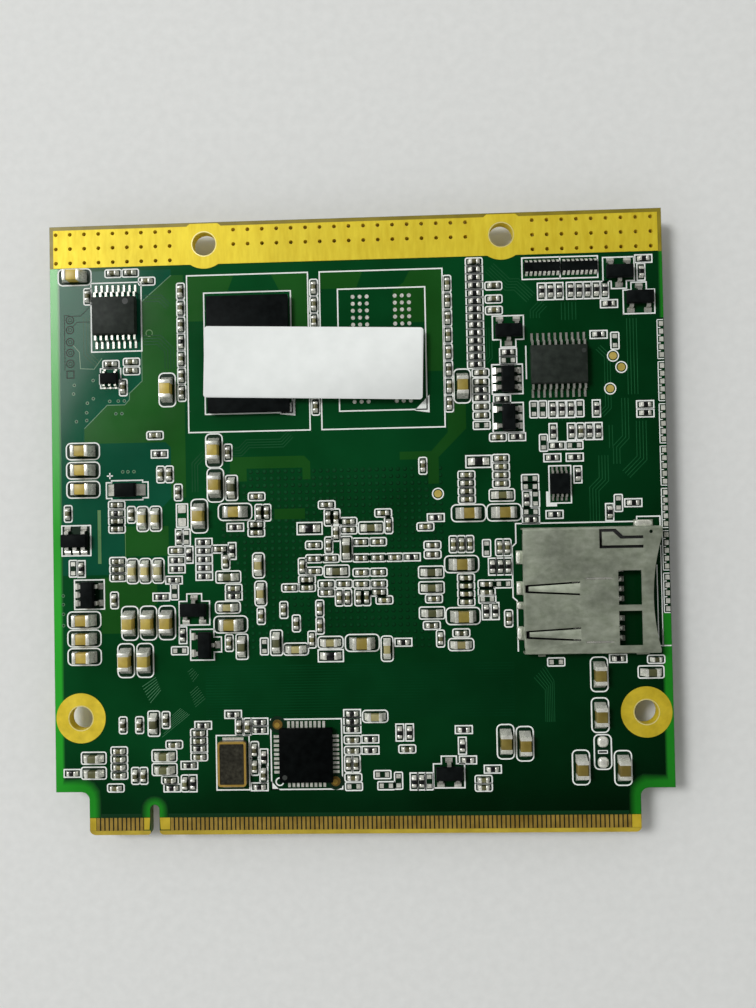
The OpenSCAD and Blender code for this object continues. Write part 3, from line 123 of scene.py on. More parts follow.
def painted_falloff(tree, place, along_x, along_y):
    """Painted light falloff: a slow change of brightness across the board."""
    dot = tree.nodes.new("ShaderNodeVectorMath")
    dot.operation = "DOT_PRODUCT"
    dot.inputs[1].default_value = (along_x / HALF_M, along_y / HALF_M, 0)
    tree.links.new(place, dot.inputs[0])
    plus = tree.nodes.new("ShaderNodeMath")
    plus.inputs[1].default_value = 1.0
    tree.links.new(dot.outputs["Value"], plus.inputs[0])
    return plus.outputs["Value"]


RAMP_START, RAMP_END = 0.3, 0.7
FINER = 2.3
SMOOTHEST = 0.02
BUMP_DEPTH_M = 0.00002


def material(name, dark, light, rough, metal=0.0, scale=300.0, detail=3.0, bump=0.0, spread=0.08,
             stretch=(1.0, 1.0, 1.0), tint=False, spec=0.5, falloff=None, clouds=None):
    """Mottled colour from dark to light, with roughness that varies by spread."""
    m = bpy.data.materials.new(name)
    m.use_nodes = True
    tree = m.node_tree
    tree.nodes.clear()
    new, link = tree.nodes.new, tree.links.new
    out = new("ShaderNodeOutputMaterial")
    bsdf = new("ShaderNodeBsdfPrincipled")
    link(bsdf.outputs["BSDF"], out.inputs["Surface"])
    place = new("ShaderNodeTexCoord").outputs["Object"]
    mapping = new("ShaderNodeMapping")
    mapping.inputs["Scale"].default_value = stretch
    link(place, mapping.inputs["Vector"])
    grain_place = mapping.outputs["Vector"]
    ramp = new("ShaderNodeValToRGB")
    for element, position, tone in zip(ramp.color_ramp.elements, (RAMP_START, RAMP_END), (dark, light)):
        element.position = position
        element.color = (*tone, 1)
    link(noise(tree, grain_place, scale, Detail=detail), ramp.inputs["Fac"])
    colour = ramp.outputs["Color"]
    if tint:
        shade = new("ShaderNodeAttribute")
        shade.attribute_name = "tint"
        colour = multiplied(tree, colour, shade.outputs["Color"])
    if clouds:
        colour = multiplied(tree, colour, cloud_shade(tree, place, *clouds))
    # Painted light falloff across the board
    if falloff:
        colour = multiplied(tree, colour, painted_falloff(tree, place, *falloff))
    link(colour, bsdf.inputs["Base Color"])
    # Plain colour for where the nodes are not read
    bsdf.inputs["Base Color"].default_value = (*[(a + b) / 2 for a, b in zip(dark, light)], 1)
    fine = noise(tree, grain_place, scale * FINER)
    span = spanned(tree, fine, max(SMOOTHEST, rough - spread), min(1.0, rough + spread))
    link(span.outputs["Result"], bsdf.inputs["Roughness"])
    bsdf.inputs["Metallic"].default_value = metal
    bsdf.inputs["Specular IOR Level"].default_value = spec
    if bump:
        raised = new("ShaderNodeBump")
        raised.inputs["Strength"].default_value = bump
        raised.inputs["Distance"].default_value = BUMP_DEPTH_M
        link(fine, raised.inputs["Height"])
        link(raised.outputs["Normal"], bsdf.inputs["Normal"])
    return m


# Solder mask in its shades, with painted light falloff that darkens it towards the lower right
PAINTED_FALLOFF = (-0.45, 0.3)
# Painted light falloff on the capacitor bodies, darker towards the lower right
BODY_PAINTED_FALLOFF = (-0.45, 0.25)
MASK_TONES = ((0.001, 0.034, 0.007), (0.002, 0.054, 0.013))
MASK = material("solder_mask", *MASK_TONES, 0.14, scale=110, spread=0.04, spec=0.2, falloff=PAINTED_FALLOFF)
MASK_SHADED = material("solder_mask_shaded", *MASK_TONES, 0.14, scale=110, spread=0.04, spec=0.2,
                       falloff=PAINTED_FALLOFF, tint=True)
MASK_TEAL = material("mask_without_copper", (0.002, 0.046, 0.022), (0.004, 0.066, 0.033), 0.1,
                     scale=110, spread=0.04, spec=0.3, falloff=PAINTED_FALLOFF)
MASK_OLIVE = material("mask_on_copper", (0.006, 0.054, 0.006), (0.010, 0.076, 0.011), 0.16,
                      scale=110, spread=0.05, spec=0.25, falloff=PAINTED_FALLOFF)
# Lighter mask at the board's edge, carrying painted light as well
MASK_EDGE_AND_LIGHT = material("mask_on_laminate_and_painted_light", (0.014, 0.30, 0.016), (0.026, 0.42, 0.028), 0.2,
                     scale=60, tint=True)
MASK_LIGHT = material("mask_over_strip", (0.001, 0.027, 0.007), (0.003, 0.039, 0.011), 0.3,
                      scale=120, spec=0.3)
TRACE = material("mask_over_trace", (0.006, 0.066, 0.020), (0.012, 0.092, 0.030), 0.2, spec=0.3)
TRACE_WIDE = material("mask_over_wide_trace", (0.07, 0.19, 0.06), (0.12, 0.25, 0.09), 0.3, spec=0.3)
VIA = material("tented_via", (0.04, 0.15, 0.06), (0.09, 0.24, 0.11), 0.3, scale=500)
VIA_DOT = material("via_plug", (0.001, 0.014, 0.005), (0.002, 0.022, 0.008), 0.4, scale=500, spec=0.2)
HATCH = material("mask_over_hatch", (0.04, 0.15, 0.07), (0.08, 0.22, 0.11), 0.25, spec=0.3, falloff=PAINTED_FALLOFF)
# A painted highlight on the bumps over the via grid
VIA_PAINTED_HIGHLIGHT = material("via_painted_highlight", (0.002, 0.043, 0.011), (0.003, 0.062, 0.017), 0.2, spec=0.3, falloff=PAINTED_FALLOFF)
FINE = material("mask_over_fine_lines", (0.001, 0.040, 0.010), (0.002, 0.058, 0.016), 0.2, spec=0.2,
                falloff=PAINTED_FALLOFF)
# Painted shade round the bumps over the via grid
VIA_PAINTED_SHADE = material("via_painted_shade", (0.001, 0.020, 0.005), (0.002, 0.030, 0.008), 0.25, spec=0.2, falloff=PAINTED_FALLOFF)
# Painted shade round the parts inside their printed outlines, drawn in the shape of a mask opening
OUTLINE_SHADE = material("painted_outline_shade", (0.001, 0.014, 0.004), (0.002, 0.024, 0.008), 0.35, spec=0.15)

# Laminate, print and gold
LAMINATE = material("bare_laminate", (0.42, 0.30, 0.012), (0.58, 0.43, 0.028), 0.5, scale=500, spec=0.3)
MARGIN = material("strip_margin", (0.20, 0.155, 0.006), (0.30, 0.235, 0.012), 0.45, scale=400)
SIDE = material("cut_laminate", (0.05, 0.10, 0.015), (0.12, 0.17, 0.03), 0.6, scale=700, stretch=(1, 1, 6))
SILK = material("white_print", (0.84, 0.88, 0.84), (0.93, 0.95, 0.92), 0.6, scale=900, spec=0.3)
# The gold and the gold rings get a faint painted sheen, brighter to the left
GOLD = material("gold_plating", (0.74, 0.56, 0.024), (0.85, 0.68, 0.042), 0.5, metal=0.25, scale=700,
                spread=0.1, stretch=(3, 0.6, 1), clouds=(70, 0.9, 1.05), falloff=(-0.03, 0.0), spec=0.3)
GOLD_RING = material("gold_ring", (0.69, 0.51, 0.023), (0.83, 0.635, 0.047), 0.45, metal=0.3, scale=500,
                     spread=0.1, clouds=(900, 0.85, 1.06), falloff=(-0.07, 0.0), spec=0.3)
GOLD_DULL = material("test_point_gold", (0.48, 0.36, 0.07), (0.66, 0.51, 0.13), 0.4, metal=0.3, scale=900)
# A painted highlight for the rims of the mounting holes
GOLD_RIM_HIGHLIGHT = material("hole_rim_highlight", (0.95, 0.80, 0.25), (1.0, 0.90, 0.42), 0.3, metal=0.4)
GOLD_DARK = material("contact_gold", (0.30, 0.19, 0.03), (0.48, 0.32, 0.06), 0.36, metal=0.4, scale=700)
GAP = material("contact_gap", (0.008, 0.012, 0.004), (0.018, 0.022, 0.008), 0.5, scale=700, spec=0.2)
PIN_DARK = material("alignment_gold", (0.15, 0.085, 0.012), (0.24, 0.14, 0.025), 0.4, metal=0.4, scale=500)

# Card socket, tin and solder
SHELL = material("shell_steel", (0.24, 0.27, 0.20), (0.36, 0.39, 0.31), 0.4, metal=0.35, scale=900,
                 detail=8.0, stretch=(1, 1.6, 1), bump=0.12, spread=0.14, clouds=(330, 0.7, 1.2))
PLASTIC = material("socket_plastic", (0.004, 0.004, 0.005), (0.009, 0.009, 0.010), 0.5, scale=900,
                   bump=0.1, spec=0.25)
SLIDER = material("slider_plastic", (0.013, 0.013, 0.014), (0.026, 0.026, 0.026), 0.5, scale=900, bump=0.1)
WIRE = material("spring_steel", (0.5, 0.5, 0.5), (0.7, 0.7, 0.7), 0.3, metal=1.0, scale=900)
TIN = material("tinned_metal", (0.44, 0.44, 0.39), (0.70, 0.70, 0.63), 0.28, metal=0.6, scale=900,
               clouds=(1500, 0.72, 1.1))
SOLDER = material("solder", (0.80, 0.81, 0.70), (0.98, 0.98, 0.90), 0.27, metal=0.4, scale=900,
                  clouds=(1500, 0.72, 1.08))

# Packages and chip parts
MOULD = material("chip_mould", (0.003, 0.004, 0.004), (0.007, 0.009, 0.009), 0.5, scale=1200,
                 bump=0.12, spec=0.03)
MOULD_BLACK = material("hub_mould", (0.001, 0.0015, 0.0015), (0.003, 0.004, 0.004), 0.5, scale=1200,
                       bump=0.1, spec=0.02)
MOULD_GREY = material("chip_mould_grey", (0.013, 0.017, 0.014), (0.026, 0.033, 0.027), 0.5, scale=1400,
                      bump=0.12, spec=0.12)
DIMPLE = material("mould_dimple", (0.03, 0.035, 0.032), (0.05, 0.055, 0.05), 0.4, scale=1200, spec=0.2)
GLAZE = material("resistor_glaze", (0.003, 0.004, 0.004), (0.010, 0.011, 0.011), 0.3, scale=900,
                 tint=True, spec=0.3)
TAN = material("capacitor_tan", (0.33, 0.29, 0.11), (0.44, 0.39, 0.17), 0.42, scale=1100,
               tint=True, falloff=BODY_PAINTED_FALLOFF)
TAN_SMALL = material("small_capacitor_brown", (0.085, 0.083, 0.032), (0.155, 0.15, 0.065), 0.42,
                     scale=1100, tint=True)
BROWN = material("capacitor_brown", (0.28, 0.205, 0.032), (0.38, 0.29, 0.055), 0.42, scale=1100,
                 tint=True, falloff=BODY_PAINTED_FALLOFF)
FERRITE = material("ferrite_dark", (0.075, 0.08, 0.025), (0.13, 0.13, 0.05), 0.45, scale=1100, tint=True)
# The label paper gets painted light falloff, brighter to the right
PAPER = material("label_paper", (0.83, 0.86, 0.84), (0.89, 0.92, 0.90), 0.75, scale=500, bump=0.05,
                 spec=0.2, falloff=(0.3, 0.0))
CERAMIC = material("crystal_ceramic", (0.03, 0.026, 0.024), (0.06, 0.05, 0.045), 0.5, scale=700)
RIM = material("crystal_gold", (0.42, 0.26, 0.04), (0.62, 0.40, 0.09), 0.34, metal=0.5, scale=500)
LID = material("crystal_metal", (0.018, 0.017, 0.011), (0.052, 0.049, 0.035), 0.42, metal=0.3,
               scale=2600, clouds=(900, 0.7, 1.2), spec=0.2)
COIL = material("inductor_mould", (0.03, 0.03, 0.032), (0.06, 0.06, 0.062), 0.55, scale=900, bump=0.15)
SUBSTRATE = material("processor_laminate", (0.006, 0.05, 0.02), (0.012, 0.085, 0.035), 0.4)
NICKEL = material("lid_nickel", (0.42, 0.42, 0.41), (0.58, 0.58, 0.56), 0.32, metal=0.9, scale=90, bump=0.03)


# Mesh helpers
def added(name, data):
    """A new object in the scene."""
    obj = bpy.data.objects.new(name, data)
    bpy.context.scene.collection.objects.link(obj)
    return obj


def piece(name, verts, faces, mat, shades=None):
    """A new piece on the module, with a tint at each point where shades are given."""
    mesh = bpy.data.meshes.new(name)
    mesh.from_pydata(verts, [], faces)
    mesh.materials.append(mat)
    if shades:
        layer = mesh.attributes.new("tint", "FLOAT_COLOR", "POINT")
        layer.data.foreach_set("color", [c for shade in shades for c in (*shade, 1.0)])
    mesh.update()
    obj = added(name, mesh)
    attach(obj, BODY)
    return obj


def welded(node):
    """The node's mesh as a bmesh with its corners joined."""
    bm = bmesh.new()
    bm.from_mesh(nodes[node].data)
    bmesh.ops.remove_doubles(bm, verts=bm.verts, dist=1e-6)
    bm.verts.ensure_lookup_table()
    bm.faces.ensure_lookup_table()
    return bm


def islands(bm):
    """The points of each separate solid."""
    seen = set()
    groups = []
    for start in bm.verts:
        if start in seen:
            continue
        stack, group = [start], []
        seen.add(start)
        while stack:
            v = stack.pop()
            group.append(v)
            for e in v.link_edges:
                w = e.other_vert(v)
                if w not in seen:
                    seen.add(w)
                    stack.append(w)
        groups.append(group)
    return groups


FACE_SLACK = 0.1


def places(node, upper=True):
    """Centre and size in plan and the top of every solid of a node on one face of the board."""
    bm = welded(node)
    found = []
    for group in islands(bm):
        xs = [v.co.x / MM for v in group]
        ys = [v.co.y / MM for v in group]
        zs = [v.co.z / MM for v in group]
        if (min(zs) > TOP - FACE_SLACK) == upper:
            found.append(((min(xs) + max(xs)) / 2, (min(ys) + max(ys)) / 2,
                          max(xs) - min(xs), max(ys) - min(ys), max(zs)))
    bm.free()
    return found


RED_SWING, BLUE_SWING = 0.06, 0.16


def scattered(x, y, along_x, along_y, factor):
    """A number from 0 to 1 that is the same each time for a place."""
    value = math.sin(x * along_x + y * along_y) * factor
    return value - math.floor(value)


def shade_of(x, y, spread):
    """A steady light or dark tint for the part at a place."""
    level = scattered(x, y, 12.9898, 78.233, 43758.5453)
    hue = scattered(x, y, 39.346, 11.135, 24634.6345) - 0.5
    k = 1.0 + spread * (level - 0.5) * 2
    return (k * (1 + RED_SWING * hue), k, k * (1 - BLUE_SWING * hue), 1.0)


FLAT_TURN = 0.02
SHARP_TURN = 0.5
SMOOTH_AREA_M2 = 1.5 * MM * MM
CREASE_DEGREES = 50


def rounded_copy(node, name, mat, bevel, slot, segments=2, tint=0.0):
    """The node with its sharp edges broken, shown in place of the node."""
    bm = welded(node)
    bmesh.ops.dissolve_limit(bm, angle_limit=FLAT_TURN, verts=bm.verts[:], edges=bm.edges[:])
    sharp = [e for e in bm.edges if e.is_manifold and e.calc_face_angle(0) > SHARP_TURN]
    bmesh.ops.bevel(bm, geom=sharp, offset=bevel * MM, offset_type="OFFSET", segments=segments,
                    profile=0.5, affect="EDGES", clamp_overlap=True)
    low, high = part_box(node)
    for v in bm.verts:
        v.co = [min(max(c, a), b) for c, a, b in zip(v.co, low, high)]
    mesh = bpy.data.meshes.new(name)
    if tint:
        layer = bm.verts.layers.float_color.new("tint")
        for group in islands(bm):
            n = len(group)
            cx = sum(v.co.x for v in group) / n / MM
            cy = sum(v.co.y for v in group) / n / MM
            shade = shade_of(round(cx, 1), round(cy, 1), tint)
            for v in group:
                v[layer] = shade
    bm.to_mesh(mesh)
    bm.free()
    mesh.polygons.foreach_set("use_smooth", [f.area < SMOOTH_AREA_M2 for f in mesh.polygons])
    mesh.set_sharp_from_angle(angle=math.radians(CREASE_DEGREES))
    mesh.materials.append(mat)
    obj = added(name, mesh)
    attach(obj, BODY)
    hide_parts(node)


# Outlines in plan
def circle(x, y, r, n):
    """Points of a circle."""
    turns = [2 * math.pi * k / n for k in range(n)]
    return [(x + r * math.cos(t), y + r * math.sin(t)) for t in turns]


def arc(x, y, r, start, end, n):
    """Points of an arc between two angles in degrees."""
    turns = [math.radians(start + (end - start) * k / n) for k in range(n + 1)]
    return [(x + r * math.cos(t), y + r * math.sin(t)) for t in turns]


def round_loop(x, y, w, h, r, n=4):
    """A rectangle with round corners."""
    pts = []
    r = min(r, w / 2, h / 2)
    for cx, cy, start in ((1, 1, 0), (-1, 1, 90), (-1, -1, 180), (1, -1, 270)):
        for k in range(n + 1):
            a = math.radians(start + 90 * k / n)
            pts.append((x + cx * (w / 2 - r) + r * math.cos(a), y + cy * (h / 2 - r) + r * math.sin(a)))
    return pts


MITRE_LIMIT = 0.3


def shifted(pts, d):
    """The line moved sideways by d, with its corners kept sharp."""
    out = []
    last = len(pts) - 1
    for k, p in enumerate(pts):
        before = Vector(pts[max(k - 1, 0)])
        here = Vector(p)
        after = Vector(pts[min(k + 1, last)])
        way_in = (here - before).normalized() if k > 0 else (after - here).normalized()
        way_out = (after - here).normalized() if k < last else way_in
        side_in = Vector((-way_in.y, way_in.x))
        side_out = Vector((-way_out.y, way_out.x))
        n = (side_in + side_out).normalized()
        n *= d / max(n.dot(side_in), MITRE_LIMIT)
        out.append((here.x + n.x, here.y + n.y))
    return out


def mirrored(pts, side):
    """The points on the right for side 1, or on the left for side -1."""
    return [(side * x, y) for x, y in pts]


def turned(long, short, lies):
    """Width and height of an outline that lies along X or along Y."""
    return (long, short) if lies else (short, long)


def area(verts, face):
    """Twice the face's area in plan, below zero where it faces down."""
    ends = face[1:] + face[:1]
    return sum(verts[a][0] * verts[b][1] - verts[b][0] * verts[a][1] for a, b in zip(face, ends))


class Flat:
    """Flat shapes at one height, gathered into one piece."""

    def __init__(self, z, shade_fill=None):
        self.z = z * MM
        self.verts = []
        self.faces = []
        self.shades = []
        self.shade_fill = shade_fill

    def poly(self, pts):
        i = len(self.verts)
        self.verts += [(x * MM, y * MM, self.z) for x, y in pts]
        self.faces.append(list(range(i, i + len(pts))))

    def block(self, x0, y0, x1, y1):
        self.poly([(x0, y0), (x0, y1), (x1, y1), (x1, y0)])

    def fade(self, outer, inner, bright, dim):
        """A strip between two lines of points, with a tint at each point of both."""
        for k in range(len(outer) - 1):
            self.poly([outer[k], outer[k + 1], inner[k + 1], inner[k]])
            self.shades += [bright[k], bright[k + 1], dim[k + 1], dim[k]]

    def band(self, outer, inner):
        i, n = len(self.verts), len(outer)
        self.verts += [(x * MM, y * MM, self.z) for x, y in outer + inner]
        for k in range(n):
            j = (k + 1) % n
            self.faces.append([i + k, i + j, i + n + j, i + n + k])

    def frame(self, x, y, w, h, r, line):
        # Where a fill is given, the inside of the frame gets painted shade
        if self.shade_fill:
            self.shade_fill.poly(round_loop(x, y, w - line, h - line, r))
        inner = round_loop(x, y, w - 2 * line, h - 2 * line, max(r - line, 0.0))
        self.band(round_loop(x, y, w, h, r), inner)

    def rect(self, x0, y0, x1, y1, line):
        self.frame((x0 + x1) / 2, (y0 + y1) / 2, abs(x1 - x0), abs(y1 - y0), 0.0, line)

    def ring(self, x, y, r, line, n=24):
        self.band(circle(x, y, r, n), circle(x, y, r - line, n))

    def disc(self, x, y, r, n=16):
        self.poly(circle(x, y, r, n))

    def line(self, pts, w):
        left, right = shifted(pts, w / 2), shifted(pts, -w / 2)
        for k in range(len(pts) - 1):
            self.poly([right[k], right[k + 1], left[k + 1], left[k]])

    def bundle(self, pts, count, pitch, w):
        for k in range(count):
            self.line(shifted(pts, (k - (count - 1) / 2) * pitch), w)

    def hatch(self, start, end, last_start, last_end, count, w):
        """Lines from start to end that step over to the last one."""
        for k in range(count):
            t = k / (count - 1)
            ends = ((start, last_start), (end, last_end))
            self.line([tuple(a + (b - a) * t for a, b in zip(p, q)) for p, q in ends], w)

    def make(self, name, mat, slot="board_laminate"):
        up = self.z > (TOP + LOW) / 2 * MM
        faces = [f if (area(self.verts, f) > 0) == up else f[::-1] for f in self.faces]
        piece(name, self.verts, faces, mat, self.shades)


# Board: mask on the faces, laminate on the bevels and cut sides, gold in the vias and holes
LEVEL = 0.95
UPRIGHT = 0.2
STRIP_START_Y = 29
INSIDE = 34.9
HOLE_REACH = 1.6


def build_board():
    bm = welded("board")
    mesh = bpy.data.meshes.new("board_faces")
    for f in bm.faces:
        c = f.calc_center_median() / MM
        in_strip = STRIP_START_Y < c.y < INSIDE and abs(c.x) < INSIDE
        if abs(f.normal.z) > LEVEL:
            f.material_index = 0
        elif abs(f.normal.z) > UPRIGHT:
            f.material_index = 1
        elif in_strip or any(math.hypot(c.x - x, c.y - y) < HOLE_REACH for x, y in SIDE_HOLES):
            f.material_index = 3
        else:
            f.material_index = 2
    bm.to_mesh(mesh)
    bm.free()
    for m in (MASK, LAMINATE, SIDE, GOLD):
        mesh.materials.append(m)
    obj = added("board_faces", mesh)
    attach(obj, BODY)
    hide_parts("board")


build_board()

# The mask darkens towards the tongue: heights in plan with their levels, and the spans between them
TONGUE_STEPS = ((-25.0, 1.0), (-29.5, 0.72), (-31.2, 0.55), (-32.5, 0.5))
TONGUE_SPANS = (((-34.0, 34.0),), ((-30.3, 30.3),), ((-30.3, -24.4), (-22.9, 30.3)))


def tongue_level(y):
    """Brightness of the mask at a distance along Y."""
    for (y0, level0), (y1, level1) in zip(TONGUE_STEPS, TONGUE_STEPS[1:]):
        if y1 <= y <= y0:
            return level0 + (level1 - level0) * (y0 - y) / (y0 - y1)
    return 1.0 if y > TONGUE_STEPS[0][0] else TONGUE_STEPS[-1][1]


def tongue_shade(z, tag):
    shade = Flat(z)
    for (y0, level0), (y1, level1), spans in zip(TONGUE_STEPS, TONGUE_STEPS[1:], TONGUE_SPANS):
        for x0, x1 in spans:
            upper, lower = [(x0, y0), (x1, y0)], [(x0, y1), (x1, y1)]
            shade.fade(upper, lower, [(level0,) * 3] * 2, [(level1,) * 3] * 2)
    shade.make("tongue_shade_" + tag, MASK_SHADED)


# Edge of the board where the copper stops and the mask over bare laminate is a lighter green, with painted
# light on top that is brighter on the left side than on the right
DIM = (0.1, 0.11, 0.5)
RIM_X = 34.98
STRIP_Y = 30.1
BEND_Y = -26.5
BAND_END_Y = -32.9
NOTCH_X, NOTCH_Y = -23.65, -32.02
NOTCH_GLOW = 0.6
RIGHT_GLOW = 0.5
# Side, brightness along the side and at the foot, and where the glow starts
GLOW_SIDES = ((-1, 1.0, 0.75, STRIP_Y), (1, 0.6, 0.5, -10.6))
# Outer, middle and inner line along a side, round its foot, round the notch and at the upper right
SIDE_ENDS = ((RIM_X, -29.98), (34.25, -29.25), (33.9, -28.5))
FOOT_LINES = (
    ((RIM_X, -29.98), (32.05, -29.98), (31.6, -30.1), (31.2, -30.5), (31.13, -31.0), (31.13, BAND_END_Y)),
    ((34.25, -29.25), (31.8, -29.3), (31.2, -29.6), (30.7, -30.2), (30.55, -30.9), (30.55, BAND_END_Y)),
    ((33.9, -28.5), (31.4, -28.4), (30.5, -28.9), (29.9, -29.8), (29.8, -30.8), (29.8, BAND_END_Y)),
)
NOTCH_LINES = ((-24.2, 0.55, -23.1), (-24.4, 0.75, -22.9), (-25.2, 1.55, -22.1))
RIGHT_XS = (RIM_X, 34.8, 34.5)
RIGHT_END_Y = 22.6
MARGIN_IN = 34.55


def dim_at(x, y):
    """Tint at which the edge mask looks like the board's own mask."""
    level = (1 + (PAINTED_FALLOFF[0] * x + PAINTED_FALLOFF[1] * y) * MM / HALF_M) * tongue_level(y)
    return tuple(c * level for c in DIM)


def glow(band, outer, middle, inner, levels):
    """Lighter edge mask with painted light, even from the outer line to the middle one, fading out to the
    inner one.
    """
    full = [(k, k, k) for k in levels]
    band.fade(outer, middle, full, full)
    band.fade(middle, inner, full, [dim_at(x, y) for x, y in inner])


def notch_line(left, r, right):
    """A line round the key notch at a radius."""
    bend = arc(NOTCH_X, NOTCH_Y, r, 180, 0, 10)
    return [(left, BAND_END_Y), (left, NOTCH_Y)] + bend + [(right, BAND_END_Y)]


def edge_bands(z, tag):
    band = Flat(z)
    for side, bright, foot, high in GLOW_SIDES:
        corner = (bright + foot) / 2
        along = [mirrored([(x, high), (x, BEND_Y), (x, y)], side) for x, y in SIDE_ENDS]
        glow(band, *along, [bright, bright, corner])
        glow(band, *[mirrored(pts, side) for pts in FOOT_LINES], [corner] + [foot] * 5)
    glow(band, *[[(x, STRIP_Y), (x, RIGHT_END_Y)] for x in RIGHT_XS], [RIGHT_GLOW] * 2)
    round_notch = [notch_line(*row) for row in NOTCH_LINES]
    glow(band, *round_notch, [NOTCH_GLOW] * len(round_notch[0]))
    band.make("edge_band_" + tag, MASK_EDGE_AND_LIGHT)
    rim = Flat(z)
    rim.poly([(-RIM_X, RIM_X), (-RIM_X, STRIP_Y), (-MARGIN_IN, STRIP_Y), (-MARGIN_IN, MARGIN_IN),
              (MARGIN_IN, MARGIN_IN), (MARGIN_IN, STRIP_Y), (RIM_X, STRIP_Y), (RIM_X, RIM_X)])
    rim.make("strip_margin_" + tag, MARGIN)


# Bare laminate, gaps between the contacts and the darker strip above them
CONTACT_TOP, CONTACT_END = -32.95, -34.38
NOTCH_END = -34.3
STRIP_TOP, STRIP_END = -32.5, -32.94


def contact_field(z, tag):
    bare = Flat(z)
    bare.block(-31.13, CONTACT_TOP, -30.4, CONTACT_END)
    bare.poly([(-24.9, CONTACT_TOP), (-24.9, NOTCH_END), (-24.3, NOTCH_END), (-24.2, CONTACT_TOP)])
    bare.poly([(-23.1, CONTACT_TOP), (-23.0, NOTCH_END), (-21.9, NOTCH_END), (-21.9, CONTACT_TOP)])
    bare.block(30.1, CONTACT_TOP, 31.13, CONTACT_END)
    bare.make("bare_laminate_" + tag, LAMINATE)
    gap = Flat(z)
    gap.block(-30.4, CONTACT_TOP, -24.9, CONTACT_END)
    gap.block(-21.9, CONTACT_TOP, 30.1, CONTACT_END)
    gap.make("contact_gaps_" + tag, GAP)
    strip = Flat(z)
    strip.block(-30.15, STRIP_TOP, -24.8, STRIP_END)
    strip.block(-22.5, STRIP_TOP, 30.15, STRIP_END)
    strip.make("strip_above_contacts_" + tag, MASK_LIGHT)


tongue_shade(TOP + SHADE_RISE, "upper")
tongue_shade(LOW - SHADE_RISE, "lower")
edge_bands(TOP + GLOW_RISE, "upper")
edge_bands(LOW - GLOW_RISE, "lower")
contact_field(TOP + AREA_RISE, "upper")
contact_field(LOW - AREA_RISE, "lower")

# Copper areas that show through the mask, and areas without copper
SHORE = [(-20.9, 29.0), (-24.4, 26.0), (-24.4, 16.9), (-25.9, 15.5), (-25.9, 14.8), (-26.45, 14.2),
         (-28.5, 14.2), (-31.2, 11.55)]
SHORE_FOOT = [(-31.2, 9.8), (-21.8, 9.8), (-21.2, 9.2), (-21.2, 3.4)]
POURS = (
    [(-29.5, -5.6), (-29.5, -12.0), (-27.0, -12.0), (-27.0, -9.2), (-23.6, -9.2), (-23.0, -8.6),
     (-23.0, -5.6)],
    [(-14.4, 7.9), (-14.4, 5.1), (-12.5, 5.1), (-12.5, 6.55), (-6.1, 6.55), (-6.1, 5.2), (-5.2, 5.2),
     (-5.2, 7.2), (-5.9, 7.9)],
    [(-9.4, 1.9), (-9.4, 0.7), (-5.9, 0.7), (-5.9, 1.9)],
    [(10.5, 17.2), (10.5, 10.2), (8.6, 8.1), (5.0, 8.1), (5.0, 7.2), (8.2, 7.2), (8.2, 4.4), (9.4, 4.4),
     (9.4, 7.4), (12.6, 10.6), (12.6, 17.2)],
)
MEMORY_POURS = (
    [(-19.1, 28.9), (-19.1, 23.6), (-17.2, 23.6), (-17.2, 26.9), (-14.4, 26.9), (-13.6, 28.9)],
    [(-9.4, 28.9), (-8.4, 26.9), (-7.05, 26.9), (-7.05, 22.6), (-5.1, 22.6), (-5.1, 28.9)],
    [(-3.8, 28.9), (-3.8, 26.9), (0.4, 26.9), (1.2, 28.9)],
    [(6.6, 28.9), (5.8, 27.4), (4.6, 26.6), (4.6, 22.8), (8.3, 22.8), (8.3, 17.2), (10.2, 17.2),
     (10.2, 28.9)],
)
SHORE_W, POUR_EDGE_W = 0.09, 0.08
POUR_EDGE = [(-32.34, 21.2), (-31.66, 20.4), (-31.55, 18.5), (-29.96, 18.4), (-29.06, 19.6)]


def pours():
    bare = Flat(TOP + AREA_RISE)
    bare.poly([(-33.95, 2.4), (-33.95, 29.7), (-20.9, 29.7)] + SHORE + SHORE_FOOT + [(-22.2, 2.4)])
    bare.block(-33.95, 2.4, -26.7, -5.3)
    bare.make("areas_without_copper", MASK_TEAL)
    pour = Flat(TOP + AREA_RISE)
    pour.poly(SHORE + SHORE_FOOT + [(-19.5, 3.4), (-19.5, 29.0)])
    pour.block(-26.6, 0.2, -21.6, -3.2)
    for pts in POURS + MEMORY_POURS:
        pour.poly(pts)
    pour.make("copper_pours", MASK_OLIVE)
    edge = Flat(TOP + SHORE_RISE)
    edge.line(SHORE, SHORE_W)
    edge.line(POUR_EDGE, POUR_EDGE_W)
    edge.make("pour_edges", VIA)
    wide = Flat(TOP + TRACE_RISE)
    wide.line([(-29.6, 2.15), (-29.6, -4.0)], 0.38)
    wide.line([(-26.6, 2.2), (-26.6, -3.6)], 0.07)
    wide.ring(-23.5, 22.4, 0.42, 0.1)
    wide.make("wide_trace", TRACE_WIDE)


pours()

